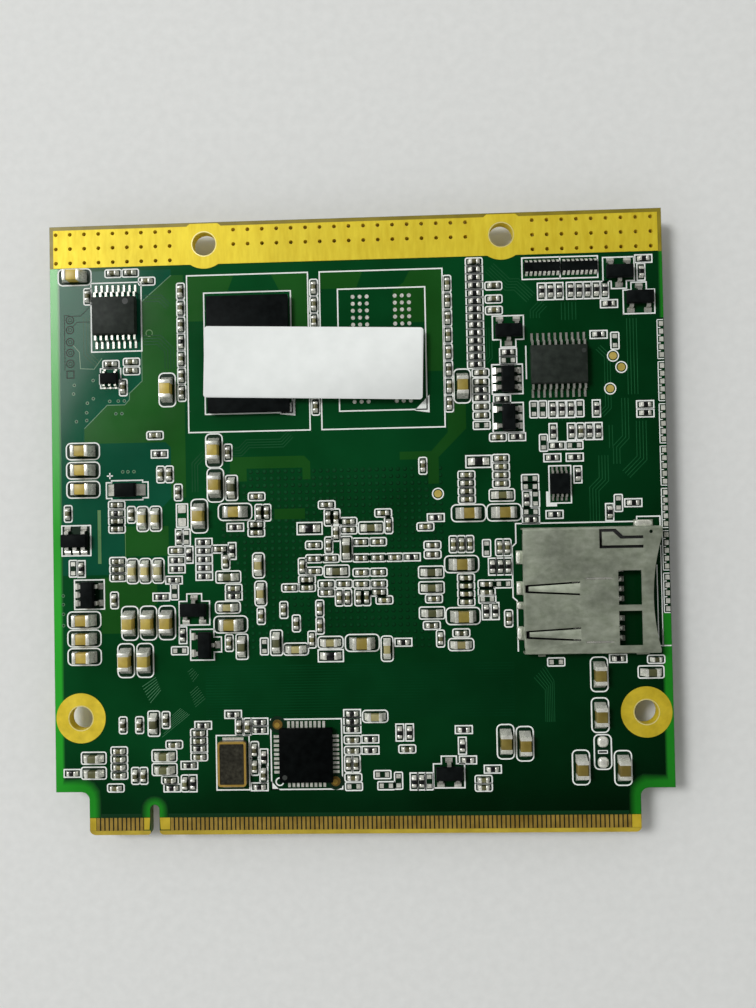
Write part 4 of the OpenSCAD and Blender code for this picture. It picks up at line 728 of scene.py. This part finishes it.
# Traces under the mask: the middle line of each bundle, how many lines, and their pitch
TRACE_W = 0.1
BUNDLES = (
    ([(26.8, -0.4), (26.8, 3.4), (27.9, 4.5), (27.9, 7.2)], 4, 0.34),
    ([(28.8, 8.0), (28.8, 10.6)], 2, 0.36),
    ([(30.45, 13.6), (30.45, 9.2), (29.4, 8.1), (29.4, 6.2)], 3, 0.36),
    ([(30.4, 5.0), (32.2, 6.8), (32.2, 11.0)], 4, 0.36),
    ([(-18.45, 4.0), (-18.45, 7.2), (-17.3, 8.4)], 3, 0.32),
    ([(15.6, 28.8), (17.6, 26.8), (18.6, 26.8), (20.2, 25.2)], 5, 0.32),
    ([(15.4, 22.0), (15.4, 18.6), (14.9, 18.1)], 3, 0.3),
    ([(20.6, 22.9), (20.6, 23.6), (21.6, 24.6)], 4, 0.34),
    ([(24.4, 22.6), (24.4, 24.6)], 5, 0.4),
    ([(23.2, 13.4), (23.2, 11.2)], 6, 0.42),
    ([(27.6, 19.4), (28.6, 18.4), (28.6, 12.6), (27.8, 11.8)], 3, 0.32),
    ([(31.4, 22.6), (31.4, 14.0)], 4, 0.36),
    ([(-24.2, 21.6), (-22.4, 21.6), (-21.2, 20.4), (-21.2, 18.2)], 4, 0.34),
    ([(-24.0, 26.4), (-22.2, 26.4), (-21.2, 25.4)], 3, 0.34),
    ([(-30.8, 24.4), (-30.8, 20.2), (-29.6, 19.0)], 3, 0.34),
    ([(-15.0, 8.5), (-13.2, 8.5), (-12.3, 9.4), (-8.4, 9.4), (-7.4, 10.4)], 4, 0.3),
)
FAN_LINES = 6
FAN_W = 0.07
# Slanted hatches near the left hole: first line, last line, how many, and their width
HATCHES = (
    ((-24.9, -18.1), (-23.3, -17.05), (-24.0, -19.95), (-22.76, -18.5), 7, 0.07),
    ((-19.4, -18.9), (-18.5, -18.1), (-18.8, -20.45), (-17.66, -19.5), 7, 0.035),
    ((-19.64, -16.5), (-19.07, -16.06), (-19.07, -17.6), (-18.4, -16.77), 5, 0.03),
    ((-21.5, -21.45), (-20.5, -20.6), (-22.7, -23.86), (-19.5, -21.3), 7, 0.05),
)
# Fine level lines between the two lower rows of parts
FINE_LINES, FINE_PITCH, FINE_W = 20, 0.31, 0.12
FINE_LEFT, FINE_RIGHT, FINE_TOP = -17.6, 17.4, -15.9


def traces():
    t = Flat(TOP + TRACE_RISE)
    for pts, count, pitch in BUNDLES:
        t.bundle(pts, count, pitch, TRACE_W)
    for k in range(FAN_LINES):
        bend_x = 20.8 + 0.2 * k
        t.line([(19.6 + 0.24 * k, -17.6 + 0.25 * k), (bend_x, -19.0 + 0.2 * k), (bend_x, -22.6)], FAN_W)
    t.make("traces", TRACE)
    slant = Flat(TOP + TRACE_RISE)
    for row in HATCHES:
        slant.hatch(*row)
    slant.make("hatches", HATCH)
    fine = Flat(TOP + FINE_RISE)
    for k in range(FINE_LINES):
        y = FINE_TOP - FINE_PITCH * k
        fine.line([(FINE_LEFT, y), (FINE_RIGHT, y)], FINE_W)
    fine.make("fine_lines", FINE)


traces()

# Tented vias on the left, and the close grid of vias above the processor
VIA_SPOTS = (
    (-30.1, 17.1), (-32.3, 16.6), (-32.4, 15.6), (-30.1, 15.0), (-30.8, 14.5), (-30.9, 13.4), (-30.9, 12.5),
    (-32.1, 12.4), (-28.2, 14.65), (-27.2, 14.65), (-26.5, 14.65), (-27.5, 13.2), (-26.8, 13.2),
    (-26.8, 6.5), (-26.2, 6.5), (-25.5, 6.5), (-33.9, -7.6), (-33.9, -8.6), (-33.9, -9.7), (-33.9, -11.0),
)
VIA_R, VIA_LINE, PLUG_R = 0.2, 0.09, 0.11
GRID_COLUMNS, GRID_ROWS, GRID_PITCH = 32, 26, 0.8
GRID_LEFT, GRID_TOP = -15.24, 6.16
VIA_SHADE_R, VIA_HIGHLIGHT_R = 0.25, 0.18
HIGHLIGHT_X, HIGHLIGHT_Y = -0.04, 0.05


def vias():
    ring, dot = Flat(TOP + RING_RISE), Flat(TOP + PLUG_RISE)
    for x, y in VIA_SPOTS:
        ring.ring(x, y, VIA_R, VIA_LINE, 12)
        dot.disc(x, y, PLUG_R, 8)
    ring.make("via_rings", VIA)
    dot.make("via_plugs", VIA_DOT)
    # Each via of the grid is drawn as a spot of painted shade with a painted highlight set off to the upper
    # left
    via_shades, via_highlights = Flat(TOP + VIA_SHADE_RISE), Flat(TOP + VIA_HIGHLIGHT_RISE)
    for i in range(GRID_COLUMNS):
        for j in range(GRID_ROWS):
            x, y = GRID_LEFT + GRID_PITCH * i, GRID_TOP - GRID_PITCH * j
            via_shades.disc(x, y, VIA_SHADE_R, 10)
            via_highlights.disc(x + HIGHLIGHT_X, y + HIGHLIGHT_Y, VIA_HIGHLIGHT_R, 8)
    via_shades.make("via_painted_shade", VIA_PAINTED_SHADE)
    via_highlights.make("via_painted_highlights", VIA_PAINTED_HIGHLIGHT)


vias()

# White print: outlines of the parts, with length, width and corner radius of each kind
PRINT_W = 0.15
THIN_W = 0.1
SQUARE_R = 0.05
OUTLINES = (
    ("small_capacitors", 2.05, 1.05, 0.28),
    ("middle_capacitors", 3.0, 1.5, 0.45),
    ("large_capacitors", 4.0, 2.05, 0.6),
    ("ferrite_beads", 3.0, 1.5, 0.3),
)
LONG_RESISTOR = 1.3
LARGE_REGULATOR = 2.5
LEAD_REACH = 2.2
PAIR_LEAST, PAIR_MOST = 0.6, 1.25
TEE = ((-1.75, -1.75), (1.75, -1.75), (1.75, 0.95), (0.85, 0.95), (0.85, 1.8), (-0.85, 1.8), (-0.85, 0.95),
       (-1.75, 0.95), (-1.75, -1.75), (-1.7, -1.75))


def pairs(node):
    """Centre and direction of the pads that belong together."""
    pads = places(node)
    found, used = [], set()
    for i, a in enumerate(pads):
        for j, b in enumerate(pads[i + 1:], i + 1):
            gap = math.hypot(a[0] - b[0], a[1] - b[1])
            if i not in used and j not in used and PAIR_LEAST < gap < PAIR_MOST:
                used.update((i, j))
                lies = abs(a[0] - b[0]) > abs(a[1] - b[1])
                found.append(((a[0] + b[0]) / 2, (a[1] + b[1]) / 2, lies))
    return found


def tee(silk, x, y, way):
    """Outline of a three-lead part, with a neck round the single lead."""
    u, v = way
    silk.line([(x + a * v + b * u, y - a * u + b * v) for a, b in TEE], PRINT_W)


def part_outlines(silk, upper):
    """Outlines of the chip parts on one face of the board."""
    for node, long, short, r in OUTLINES:
        for x, y, w, h, _ in places(node, upper):
            silk.frame(x, y, *turned(long, short, w > h), r, PRINT_W)
    for x, y, w, h, _ in places("resistors", upper):
        long, short = (3.0, 1.5) if max(w, h) > LONG_RESISTOR else (2.05, 1.02)
        silk.frame(x, y, *turned(long, short, w > h), SQUARE_R, PRINT_W)
    leads = places("transistor_leads", upper)
    for x, y, *_ in places("transistors", upper):
        near = [p for p in leads if math.hypot(p[0] - x, p[1] - y) < LEAD_REACH]
        sx, sy = sum(p[0] - x for p in near), sum(p[1] - y for p in near)
        # The neck points away from the side with two leads
        tee(silk, x, y, (0, -1 if sy > 0 else 1) if abs(sy) > abs(sx) else (-1 if sx > 0 else 1, 0))
    for x, y, w, h, _ in places("regulators", upper):
        if max(w, h) > LARGE_REGULATOR:
            silk.frame(x, y, *turned(3.5, 3.6, w > h), SQUARE_R, PRINT_W)


# Marks beside the chips
CORNER_MARKS = ((-32.3, -1.3, 1, 1), (-30.9, -7.5, 1, -1), (17.4, 16.05, -1, 1), (17.4, 11.7, -1, 1))
CORNER_SIZE = 0.75
TANTALUM_X, TANTALUM_Y = -26.3, 4.38
TANTALUM_OUTLINE = (
    (-1.8, 0.9), (-1.8, 1.12), (1.8, 1.12), (1.8, 0.9), (2.42, 0.9), (2.42, -0.9), (1.8, -0.9),
    (1.8, -1.12), (-1.8, -1.12), (-1.8, -0.9), (-2.42, -0.9), (-2.42, 0.9), (-1.72, 0.9),
)
TEST_POINTS = ((29.25, 18.4), (30.15, 17.1), (28.85, 14.7), (9.25, 3.25))
TEST_RING_R, TEST_RING_W = 0.68, 0.13


def chip_marks(silk):
    # Corner marks of the transistors
    for x, y, sx, sy in CORNER_MARKS:
        silk.poly([(x, y), (x + sx * CORNER_SIZE, y), (x, y + sy * CORNER_SIZE)])
    # Memory sites
    silk.rect(-17.2, 12.8, -7.05, 26.9, PRINT_W)
    silk.rect(-19.15, 10.75, -5.05, 28.95, PRINT_W)
    silk.rect(-1.8, 12.8, 8.3, 26.9, PRINT_W)
    silk.rect(-3.85, 10.75, 10.3, 28.95, PRINT_W)
    silk.poly([(-8.6, 12.7), (-6.8, 12.5), (-6.8, 14.5)])
    silk.poly([(6.8, 12.75), (8.5, 12.5), (8.5, 14.5)])
    # Hub chip and crystal
    silk.rect(-10.3, -29.95, -2.1, -21.9, PRINT_W)
    silk.poly([(-10.3, -29.95), (-9.3, -29.95), (-10.3, -28.9)])
    silk.ring(-9.3, -29.0, 0.5, PRINT_W)
    silk.frame(-14.6, -26.8, 3.9, 6.3, SQUARE_R, PRINT_W)
    # Tantalum capacitor with its plus sign, and two small chips
    silk.line([(TANTALUM_X + x, TANTALUM_Y + y) for x, y in TANTALUM_OUTLINE], PRINT_W)
    silk.frame(-20.0, 1.35, 1.45, 2.8, SQUARE_R, PRINT_W)
    silk.frame(-28.05, 17.3, 2.5, 2.4, SQUARE_R, PRINT_W)
    silk.line([(-28.65, 6.05), (-27.95, 6.05)], PRINT_W)
    silk.line([(-28.3, 5.7), (-28.3, 6.4)], PRINT_W)
    # Resistor arrays and logic chips
    silk.rect(19.2, 27.25, 27.85, 29.85, PRINT_W)
    silk.line([(23.55, 27.3), (23.55, 29.8)], PRINT_W)
    silk.rect(-30.3, 20.3, -24.3, 28.4, PRINT_W)
    silk.line([(19.5, 16.0), (19.5, 19.8)], PRINT_W)
    silk.poly([(-29.4, 16.6), (-29.1, 16.6), (-29.1, 17.8), (-29.4, 17.8)])
    silk.rect(21.7, 1.85, 24.3, 6.2, PRINT_W)
    silk.poly([(21.4, 1.55), (22.6, 1.55), (22.6, 1.85), (21.72, 1.85), (21.72, 3.25), (21.4, 3.25)])
    for x, y in TEST_POINTS:
        silk.ring(x, y, TEST_RING_R, TEST_RING_W)


# Line and ticks beside the edge pads
PAD_LINE_X = 34.25
PAD_TOP_Y = 21.9
PAD_GROUPS, GROUP_PITCH, GROUP_LENGTH = 7, 4.75, 4.4
TICKS, TICK_PITCH, TICK_W = 6, 0.88, 0.09
LONG_TICK_X, SHORT_TICK_X = 34.93, 34.6


def edge_pad_marks(silk):
    for g in range(PAD_GROUPS):
        y1 = PAD_TOP_Y - g * GROUP_PITCH + TICK_PITCH / 2
        silk.line([(PAD_LINE_X, y1), (PAD_LINE_X, y1 - GROUP_LENGTH)], THIN_W)
        for k in range(TICKS):
            end_x = LONG_TICK_X if k in (0, TICKS - 1) else SHORT_TICK_X
            silk.line([(PAD_LINE_X, y1 - TICK_PITCH * k), (end_x, y1 - TICK_PITCH * k)], TICK_W)


def socket_marks(silk):
    """Lines round the card socket."""
    silk.line([(17.9, -14.7), (17.9, -9.0), (17.45, -8.6), (17.45, -2.9), (17.9, -2.5), (17.9, -0.3),
               (31.44, -0.3), (31.44, 0.24), (34.02, 0.24), (34.02, -1.2)], PRINT_W)
    silk.line([(34.02, -12.4), (34.02, -14.24)], PRINT_W)
    silk.line([(33.7, -14.24), (34.95, -14.24)], 0.12)
    silk.line([(33.55, -5.2), (33.55, -14.5)], THIN_W)
    silk.line([(34.02, -3.0), (34.02, -14.2)], THIN_W)


LOWER_CHIPS = ("processor_substrate", "storage_chip", "power_chip", "network_chip", "flash_chip",
               "memory_chips")
CHIP_MARGIN = 1.2
# Centre of the two empty pads with solder domes
DOME_X, DOME_Y = 27.05, -26.0


def print_marks():
    # Each part outline is filled with painted shade round its part
    shade_fill = Flat(TOP + OUTLINE_SHADE_RISE)
    silk = Flat(TOP + PRINT_RISE, shade_fill)
    part_outlines(silk, True)
    for x, y, lies in pairs("empty_pads"):
        silk.frame(x, y, *turned(2.05, 1.05, lies), 0.2, PRINT_W)
    silk.frame(DOME_X, DOME_Y, 2.05, 4.0, 0.6, PRINT_W)
    silk.rect(26.5, -26.2, 27.6, -25.8, THIN_W)
    shade_fill.make("painted_outline_shades", OUTLINE_SHADE)
    # The marks from here on have no painted shade inside them
    silk.shade_fill = None
    chip_marks(silk)
    edge_pad_marks(silk)
    socket_marks(silk)
    silk.make("white_print", SILK)
    low = Flat(LOW - PRINT_RISE)
    part_outlines(low, False)
    for node in LOWER_CHIPS:
        for x, y, w, h, _ in places(node, False):
            low.frame(x, y, w + CHIP_MARGIN, h + CHIP_MARGIN, SQUARE_R, PRINT_W)
    low.make("white_print_lower", SILK)


print_marks()

# Rings of the programming pads, and lines from them to the chip beside them
RING_X = -32.73
RING_YS = (24.15, 23.0, 21.6, 20.35, 19.1)
RING_W = 0.13
OUTER_R, INNER_R = 0.5, 0.24
PAD_LINE_W = 0.08


def programming_pads():
    pads = Flat(TOP + PLUG_RISE)
    for y in RING_YS:
        pads.ring(RING_X, y, OUTER_R, RING_W)
        pads.ring(RING_X, y, INNER_R, PAD_LINE_W, 12)
    pads.rect(-33.2, 17.38, -32.26, 18.32, RING_W)
    pads.line([(-32.5, 24.5), (-32.34, 24.6), (-31.44, 24.6), (-30.3, 25.74)], PAD_LINE_W)
    pads.line([(-32.46, 23.3), (-31.89, 23.88), (-30.3, 23.88)], PAD_LINE_W)
    pads.line([(-32.8, 24.7), (-33.36, 24.7), (-33.36, 18.3)], PAD_LINE_W)
    pads.make("programming_pads", VIA_DOT)


programming_pads()

# Parts with broken edges: node, piece, material, width of the edge, slot, segments, spread of the tint
ROUNDED = (
    ("small_capacitors", "small_capacitor_bodies", TAN_SMALL, 0.03, "capacitor_brown", 1, 0.45),
    ("middle_capacitors", "middle_capacitor_bodies", TAN, 0.05, "capacitor_tan", 2, 0.15),
    ("large_capacitors", "large_capacitor_bodies", BROWN, 0.08, "capacitor_brown", 2, 0.15),
    ("ferrite_beads", "ferrite_bead_bodies", FERRITE, 0.05, "ferrite_dark", 2, 0.3),
    ("resistors", "resistor_bodies", GLAZE, 0.02, "resistor_glaze", 1, 0.2),
    ("small_capacitor_ends", "small_capacitor_caps", SOLDER, 0.03, "solder", 1),
    ("middle_capacitor_ends", "middle_capacitor_caps", SOLDER, 0.05, "solder"),
    ("large_capacitor_ends", "large_capacitor_caps", SOLDER, 0.08, "solder"),
    ("ferrite_bead_ends", "ferrite_bead_caps", SOLDER, 0.05, "solder"),
    ("resistor_ends", "resistor_caps", SOLDER, 0.02, "solder", 1),
    ("memory_chips", "memory_packages", MOULD, 0.06, "chip_mould"),
    ("hub_chip", "hub_package", MOULD_BLACK, 0.05, "chip_mould"),
    ("logic_chip_a", "logic_package_a", MOULD_GREY, 0.05, "chip_mould"),
    ("logic_chip_b", "logic_package_b", MOULD_GREY, 0.05, "chip_mould"),
    ("transistors", "transistor_packages", MOULD, 0.05, "chip_mould"),
    ("regulators", "regulator_packages", MOULD, 0.05, "chip_mould"),
    ("tantalum_capacitor", "tantalum_package", MOULD, 0.06, "tantalum_mould"),
    ("socket_shell", "shell_sheet", SHELL, 0.04, "shell_steel"),
    ("blank_label", "blank_label_sheet", PAPER, 0.02, "label_paper", 1),
    ("processor_lid", "processor_lid_plate", NICKEL, 0.08, "lid_nickel"),
    ("power_inductors", "inductor_blocks", COIL, 0.1, "inductor_mould"),
)
for row in ROUNDED:
    rounded_copy(*row)

# The other nodes keep their CAD shapes
KEPT = (
    (GOLD, ("cooling_strips",)),
    (GOLD_RING, ("mount_lands",)),
    (GOLD_DULL, ("test_points",)),
    (GOLD_DARK, ("edge_contacts",)),
    (PLASTIC, ("socket_base",)),
    (SLIDER, ("card_slider",)),
    (WIRE, ("cam_pin",)),
    (TIN, ("card_contacts", "logic_chip_a_leads", "logic_chip_b_leads", "prom_chip_leads", "tantalum_ends",
           "transistor_leads", "regulator_leads", "flash_chip_leads", "inductor_ends")),
    (SOLDER, ("memory_balls", "memory_site_pads", "hub_chip_lands", "crystal_lands", "resistor_array_ends",
              "empty_pads", "edge_pads", "processor_balls", "storage_balls", "lower_chip_lands")),
    (MOULD, ("prom_chip", "storage_chip", "power_chip", "network_chip", "flash_chip", "resistor_arrays")),
    (CERAMIC, ("crystal_base",)),
    (RIM, ("crystal_rim",)),
    (LID, ("crystal_lid",)),
    (SUBSTRATE, ("processor_substrate",)),
)
for mat, names in KEPT:
    for name in names:
        materials = nodes[name].data.materials
        materials.clear()
        materials.append(mat)


# The slider's coil spring gets a copy of its own mesh, in spring steel; on the real socket it shortens as a
# card is pushed in
def slider_coil():
    coil = added("slider_spring_coil", nodes["slider_spring"].data.copy())
    coil.data.materials.clear()
    coil.data.materials.append(WIRE)
    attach(coil, BODY)
    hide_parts("slider_spring")
    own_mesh(coil)


slider_coil()

# Round dimples that mark the first lead: chip, offset from its centre, and radius
DIMPLES = (
    ("logic_chip_a", 1.4, 1.55, 0.35),
    ("logic_chip_b", 2.7, 1.4, 0.25),
    ("hub_chip", -2.4, -2.4, 0.28),
)


def dimples():
    dim = Flat(0)
    for node, dx, dy, r in DIMPLES:
        x, y, *_, z = places(node)[0]
        dim.z = (z + DIMPLE_RISE) * MM
        dim.disc(x + dx, y + dy, r, 24)
    dim.make("chip_dimples", DIMPLE, "chip_mould")


dimples()

# Low mounds: rings of points at these angles up each mound, between a circle and a square in plan
MOUND_SIDES = 16
MOUND_ANGLES = (0, 30, 55, 78)
MOUND_POWER = 0.6


def mounds(name, spots, mat):
    """One mound for each spot, given by centre, size in plan, foot and rise."""
    verts, faces, n = [], [], MOUND_SIDES
    last = len(MOUND_ANGLES) - 1
    for x, y, w, h, z, rise in spots:
        i = len(verts)
        for angle in MOUND_ANGLES:
            k, up = math.cos(math.radians(angle)), math.sin(math.radians(angle))
            for c, s in circle(0, 0, 1, n):
                px = w / 2 * math.copysign(abs(c) ** MOUND_POWER, c)
                py = h / 2 * math.copysign(abs(s) ** MOUND_POWER, s)
                verts.append(((x + px * k) * MM, (y + py * k) * MM, (z + rise * up) * MM))
        verts.append((x * MM, y * MM, (z + rise) * MM))
        for ring in range(last):
            for j in range(n):
                a, b = i + ring * n + j, i + ring * n + (j + 1) % n
                faces.append([a, b, b + n, a + n])
        for j in range(n):
            faces.append([i + last * n + j, i + last * n + (j + 1) % n, i + (last + 1) * n])
    obj = piece(name, verts, faces, mat)
    obj.data.polygons.foreach_set("use_smooth", [True] * len(faces))


# Solder on the foot, the back tabs and the contact tails of the card socket
SOCKET_Y = -7.8
FOOT_TOP = TOP + 0.2
TAIL_FOOT = TOP + 0.05
BACK_TABS = ((-4.8, 1.5), (0.25, 1.5), (-1.7, 0.8), (3.7, 1.5))
TAILS_FROM, TAILS_TO = -14, -5.5
foot_spots = [(32.1, -0.5, 1.9, 0.72, FOOT_TOP, 0.1)]
tab_spots = [(18.1, SOCKET_Y + y, 0.5, 0.85 * w, FOOT_TOP, 0.12) for y, w in BACK_TABS]
tail_ys = [y for _, y, *_ in places("card_contacts") if TAILS_FROM < y < TAILS_TO]
tail_spots = [(29.2, y, 0.72, 0.66, TAIL_FOOT, 0.42) for y in tail_ys]
mounds("socket_solder", foot_spots + tab_spots + tail_spots, SOLDER)

# Solder domes on two empty pads at the lower right
DOME_SHARE = 0.92
dome_pads = [p for p in places("empty_pads") if abs(p[0] - DOME_X) < 0.5 and abs(p[1] - DOME_Y) < 2]
dome_spots = [(x, y, DOME_SHARE * w, DOME_SHARE * h, z - 0.01, 0.24) for x, y, w, h, z in dome_pads]
mounds("pad_domes", dome_spots, SOLDER)

# Beads coined into the spring fingers of the shell
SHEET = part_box("socket_shell")[1].z / MM
bead_spots = [(26.7, y, 3.05, 0.23, SHEET - 0.07, 0.068) for y in (-6.5, -13.5)]
mounds("coined_beads", bead_spots, TIN)

# Alignment marks beside the hub chip sit in dark clearings, each with a painted highlight set off to the
# lower left
MARK_SPOTS = ((-9.45, -22.55), (-2.95, -29.0))
CLEARING_R, MARK_R, GLINT_R = 0.95, 0.55, 0.3
GLINT_SHIFT = 0.06
marks, glints, clear = Flat(TOP + GOLD_RISE), Flat(TOP + GLINT_RISE), Flat(TOP + CLEARING_RISE)
for x, y in MARK_SPOTS:
    clear.disc(x, y, CLEARING_R, 32)
    marks.disc(x, y, MARK_R, 32)
    glints.disc(x - GLINT_SHIFT, y - GLINT_SHIFT, GLINT_R, 24)
clear.make("mark_clearings", VIA_DOT)
marks.make("alignment_marks", PIN_DARK, "gold_plating")
glints.make("alignment_glints", RIM, "gold_plating")

# Painted highlight rings on the rims of the mounting holes
HOLE_RIM_R, HOLE_RIM_W = 1.47, 0.12
rim_highlights = Flat(TOP + GOLD_RISE)
for x, y in STRIP_HOLES + SIDE_HOLES:
    rim_highlights.ring(x, y, HOLE_RIM_R, HOLE_RIM_W, 48)
rim_highlights.make("hole_rim_highlights", GOLD_RIM_HIGHLIGHT, "gold_plating")

# Floor, light and camera, in metres
FLOOR_HALF = 1.5
FLOOR_Z = -0.00002
# Direction, where the light starts and stops falling, and its strength there
SKY = (("Z", 0.55, 0.92, 1.0, 0.06), ("X", -0.8, 0.6, 1.0, 0.47))
SKY_COLOUR = (1.0, 1.0, 0.98, 1)
# Name, place, width, height and watts
LAMPS = (("key", (-0.66, 0.36, 0.95), 0.3, 0.3, 6.6), ("window", (-0.27, 0.128, 0.46), 0.19, 0.12, 0.3))


def lay_floor():
    mesh = bpy.data.meshes.new("floor")
    corners = ((-1, -1), (1, -1), (1, 1), (-1, 1))
    mesh.from_pydata([(FLOOR_HALF * x, FLOOR_HALF * y, FLOOR_Z) for x, y in corners], [], [(0, 1, 2, 3)])
    sheet = material("floor_sheet", (0.76, 0.77, 0.755), (0.80, 0.81, 0.795), 0.8, scale=900, bump=0.4)
    mesh.materials.append(sheet)
    floor = added("floor", mesh)


def light_sky():
    """Soft light that is dimmer overhead and to the right."""
    world = bpy.data.worlds.new("studio")
    bpy.context.scene.world = world
    world.use_nodes = True
    tree = world.node_tree
    tree.nodes.clear()
    out = tree.nodes.new("ShaderNodeOutputWorld")
    back = tree.nodes.new("ShaderNodeBackground")
    place = tree.nodes.new("ShaderNodeTexCoord")
    split = tree.nodes.new("ShaderNodeSeparateXYZ")
    tree.links.new(place.outputs["Generated"], split.inputs["Vector"])
    times = tree.nodes.new("ShaderNodeMath")
    times.operation = "MULTIPLY"
    for k, (axis, start, end, high, low) in enumerate(SKY):
        span = spanned(tree, split.outputs[axis], high, low, start, end)
        span.interpolation_type = "SMOOTHSTEP"
        tree.links.new(span.outputs["Result"], times.inputs[k])
    back.inputs["Color"].default_value = SKY_COLOUR
    tree.links.new(times.outputs["Value"], back.inputs["Strength"])
    tree.links.new(back.outputs["Background"], out.inputs["Surface"])


def hang_lamps():
    for name, place, width, height, watts in LAMPS:
        lamp = bpy.data.lights.new(name, "AREA")
        lamp.shape = "RECTANGLE"
        lamp.size = width
        lamp.size_y = height
        lamp.energy = watts
        obj = added(name, lamp)
        obj.location = place
        obj.rotation_euler = (-Vector(place)).to_track_quat("-Z", "Y").to_euler()


# The camera stands almost straight above the board
PHOTO_HEIGHT_PX = 1008
FOCAL_PX = 824.2
SENSOR_MM = 36.0
CAMERA_RIGHT = Vector((0.99921, -0.01951, -0.0347))
CAMERA_UP = Vector((0.02012, 0.99965, 0.01744))
CAMERA_BACK = Vector((0.03435, -0.01812, 0.99925))
CAMERA_X, CAMERA_Y, CAMERA_ABOVE_BOARD = 0.005648, 0.000529, 0.093442


def set_camera():
    cam = bpy.data.cameras.new("camera")
    cam.sensor_fit = "VERTICAL"
    cam.sensor_height = SENSOR_MM
    cam.lens = FOCAL_PX / PHOTO_HEIGHT_PX * SENSOR_MM
    cam.clip_start = 0.005
    cam.clip_end = 10.0
    obj = added("camera", cam)
    turn = Matrix((CAMERA_RIGHT, CAMERA_UP, CAMERA_BACK)).transposed()
    place = Matrix.Translation((CAMERA_X, CAMERA_Y, CAMERA_ABOVE_BOARD + TOP * MM))
    obj.matrix_world = place @ turn.to_4x4()
    bpy.context.scene.camera = obj


lay_floor()
light_sky()
hang_lamps()
set_camera()
bpy.context.scene.view_settings.view_transform = "Standard"
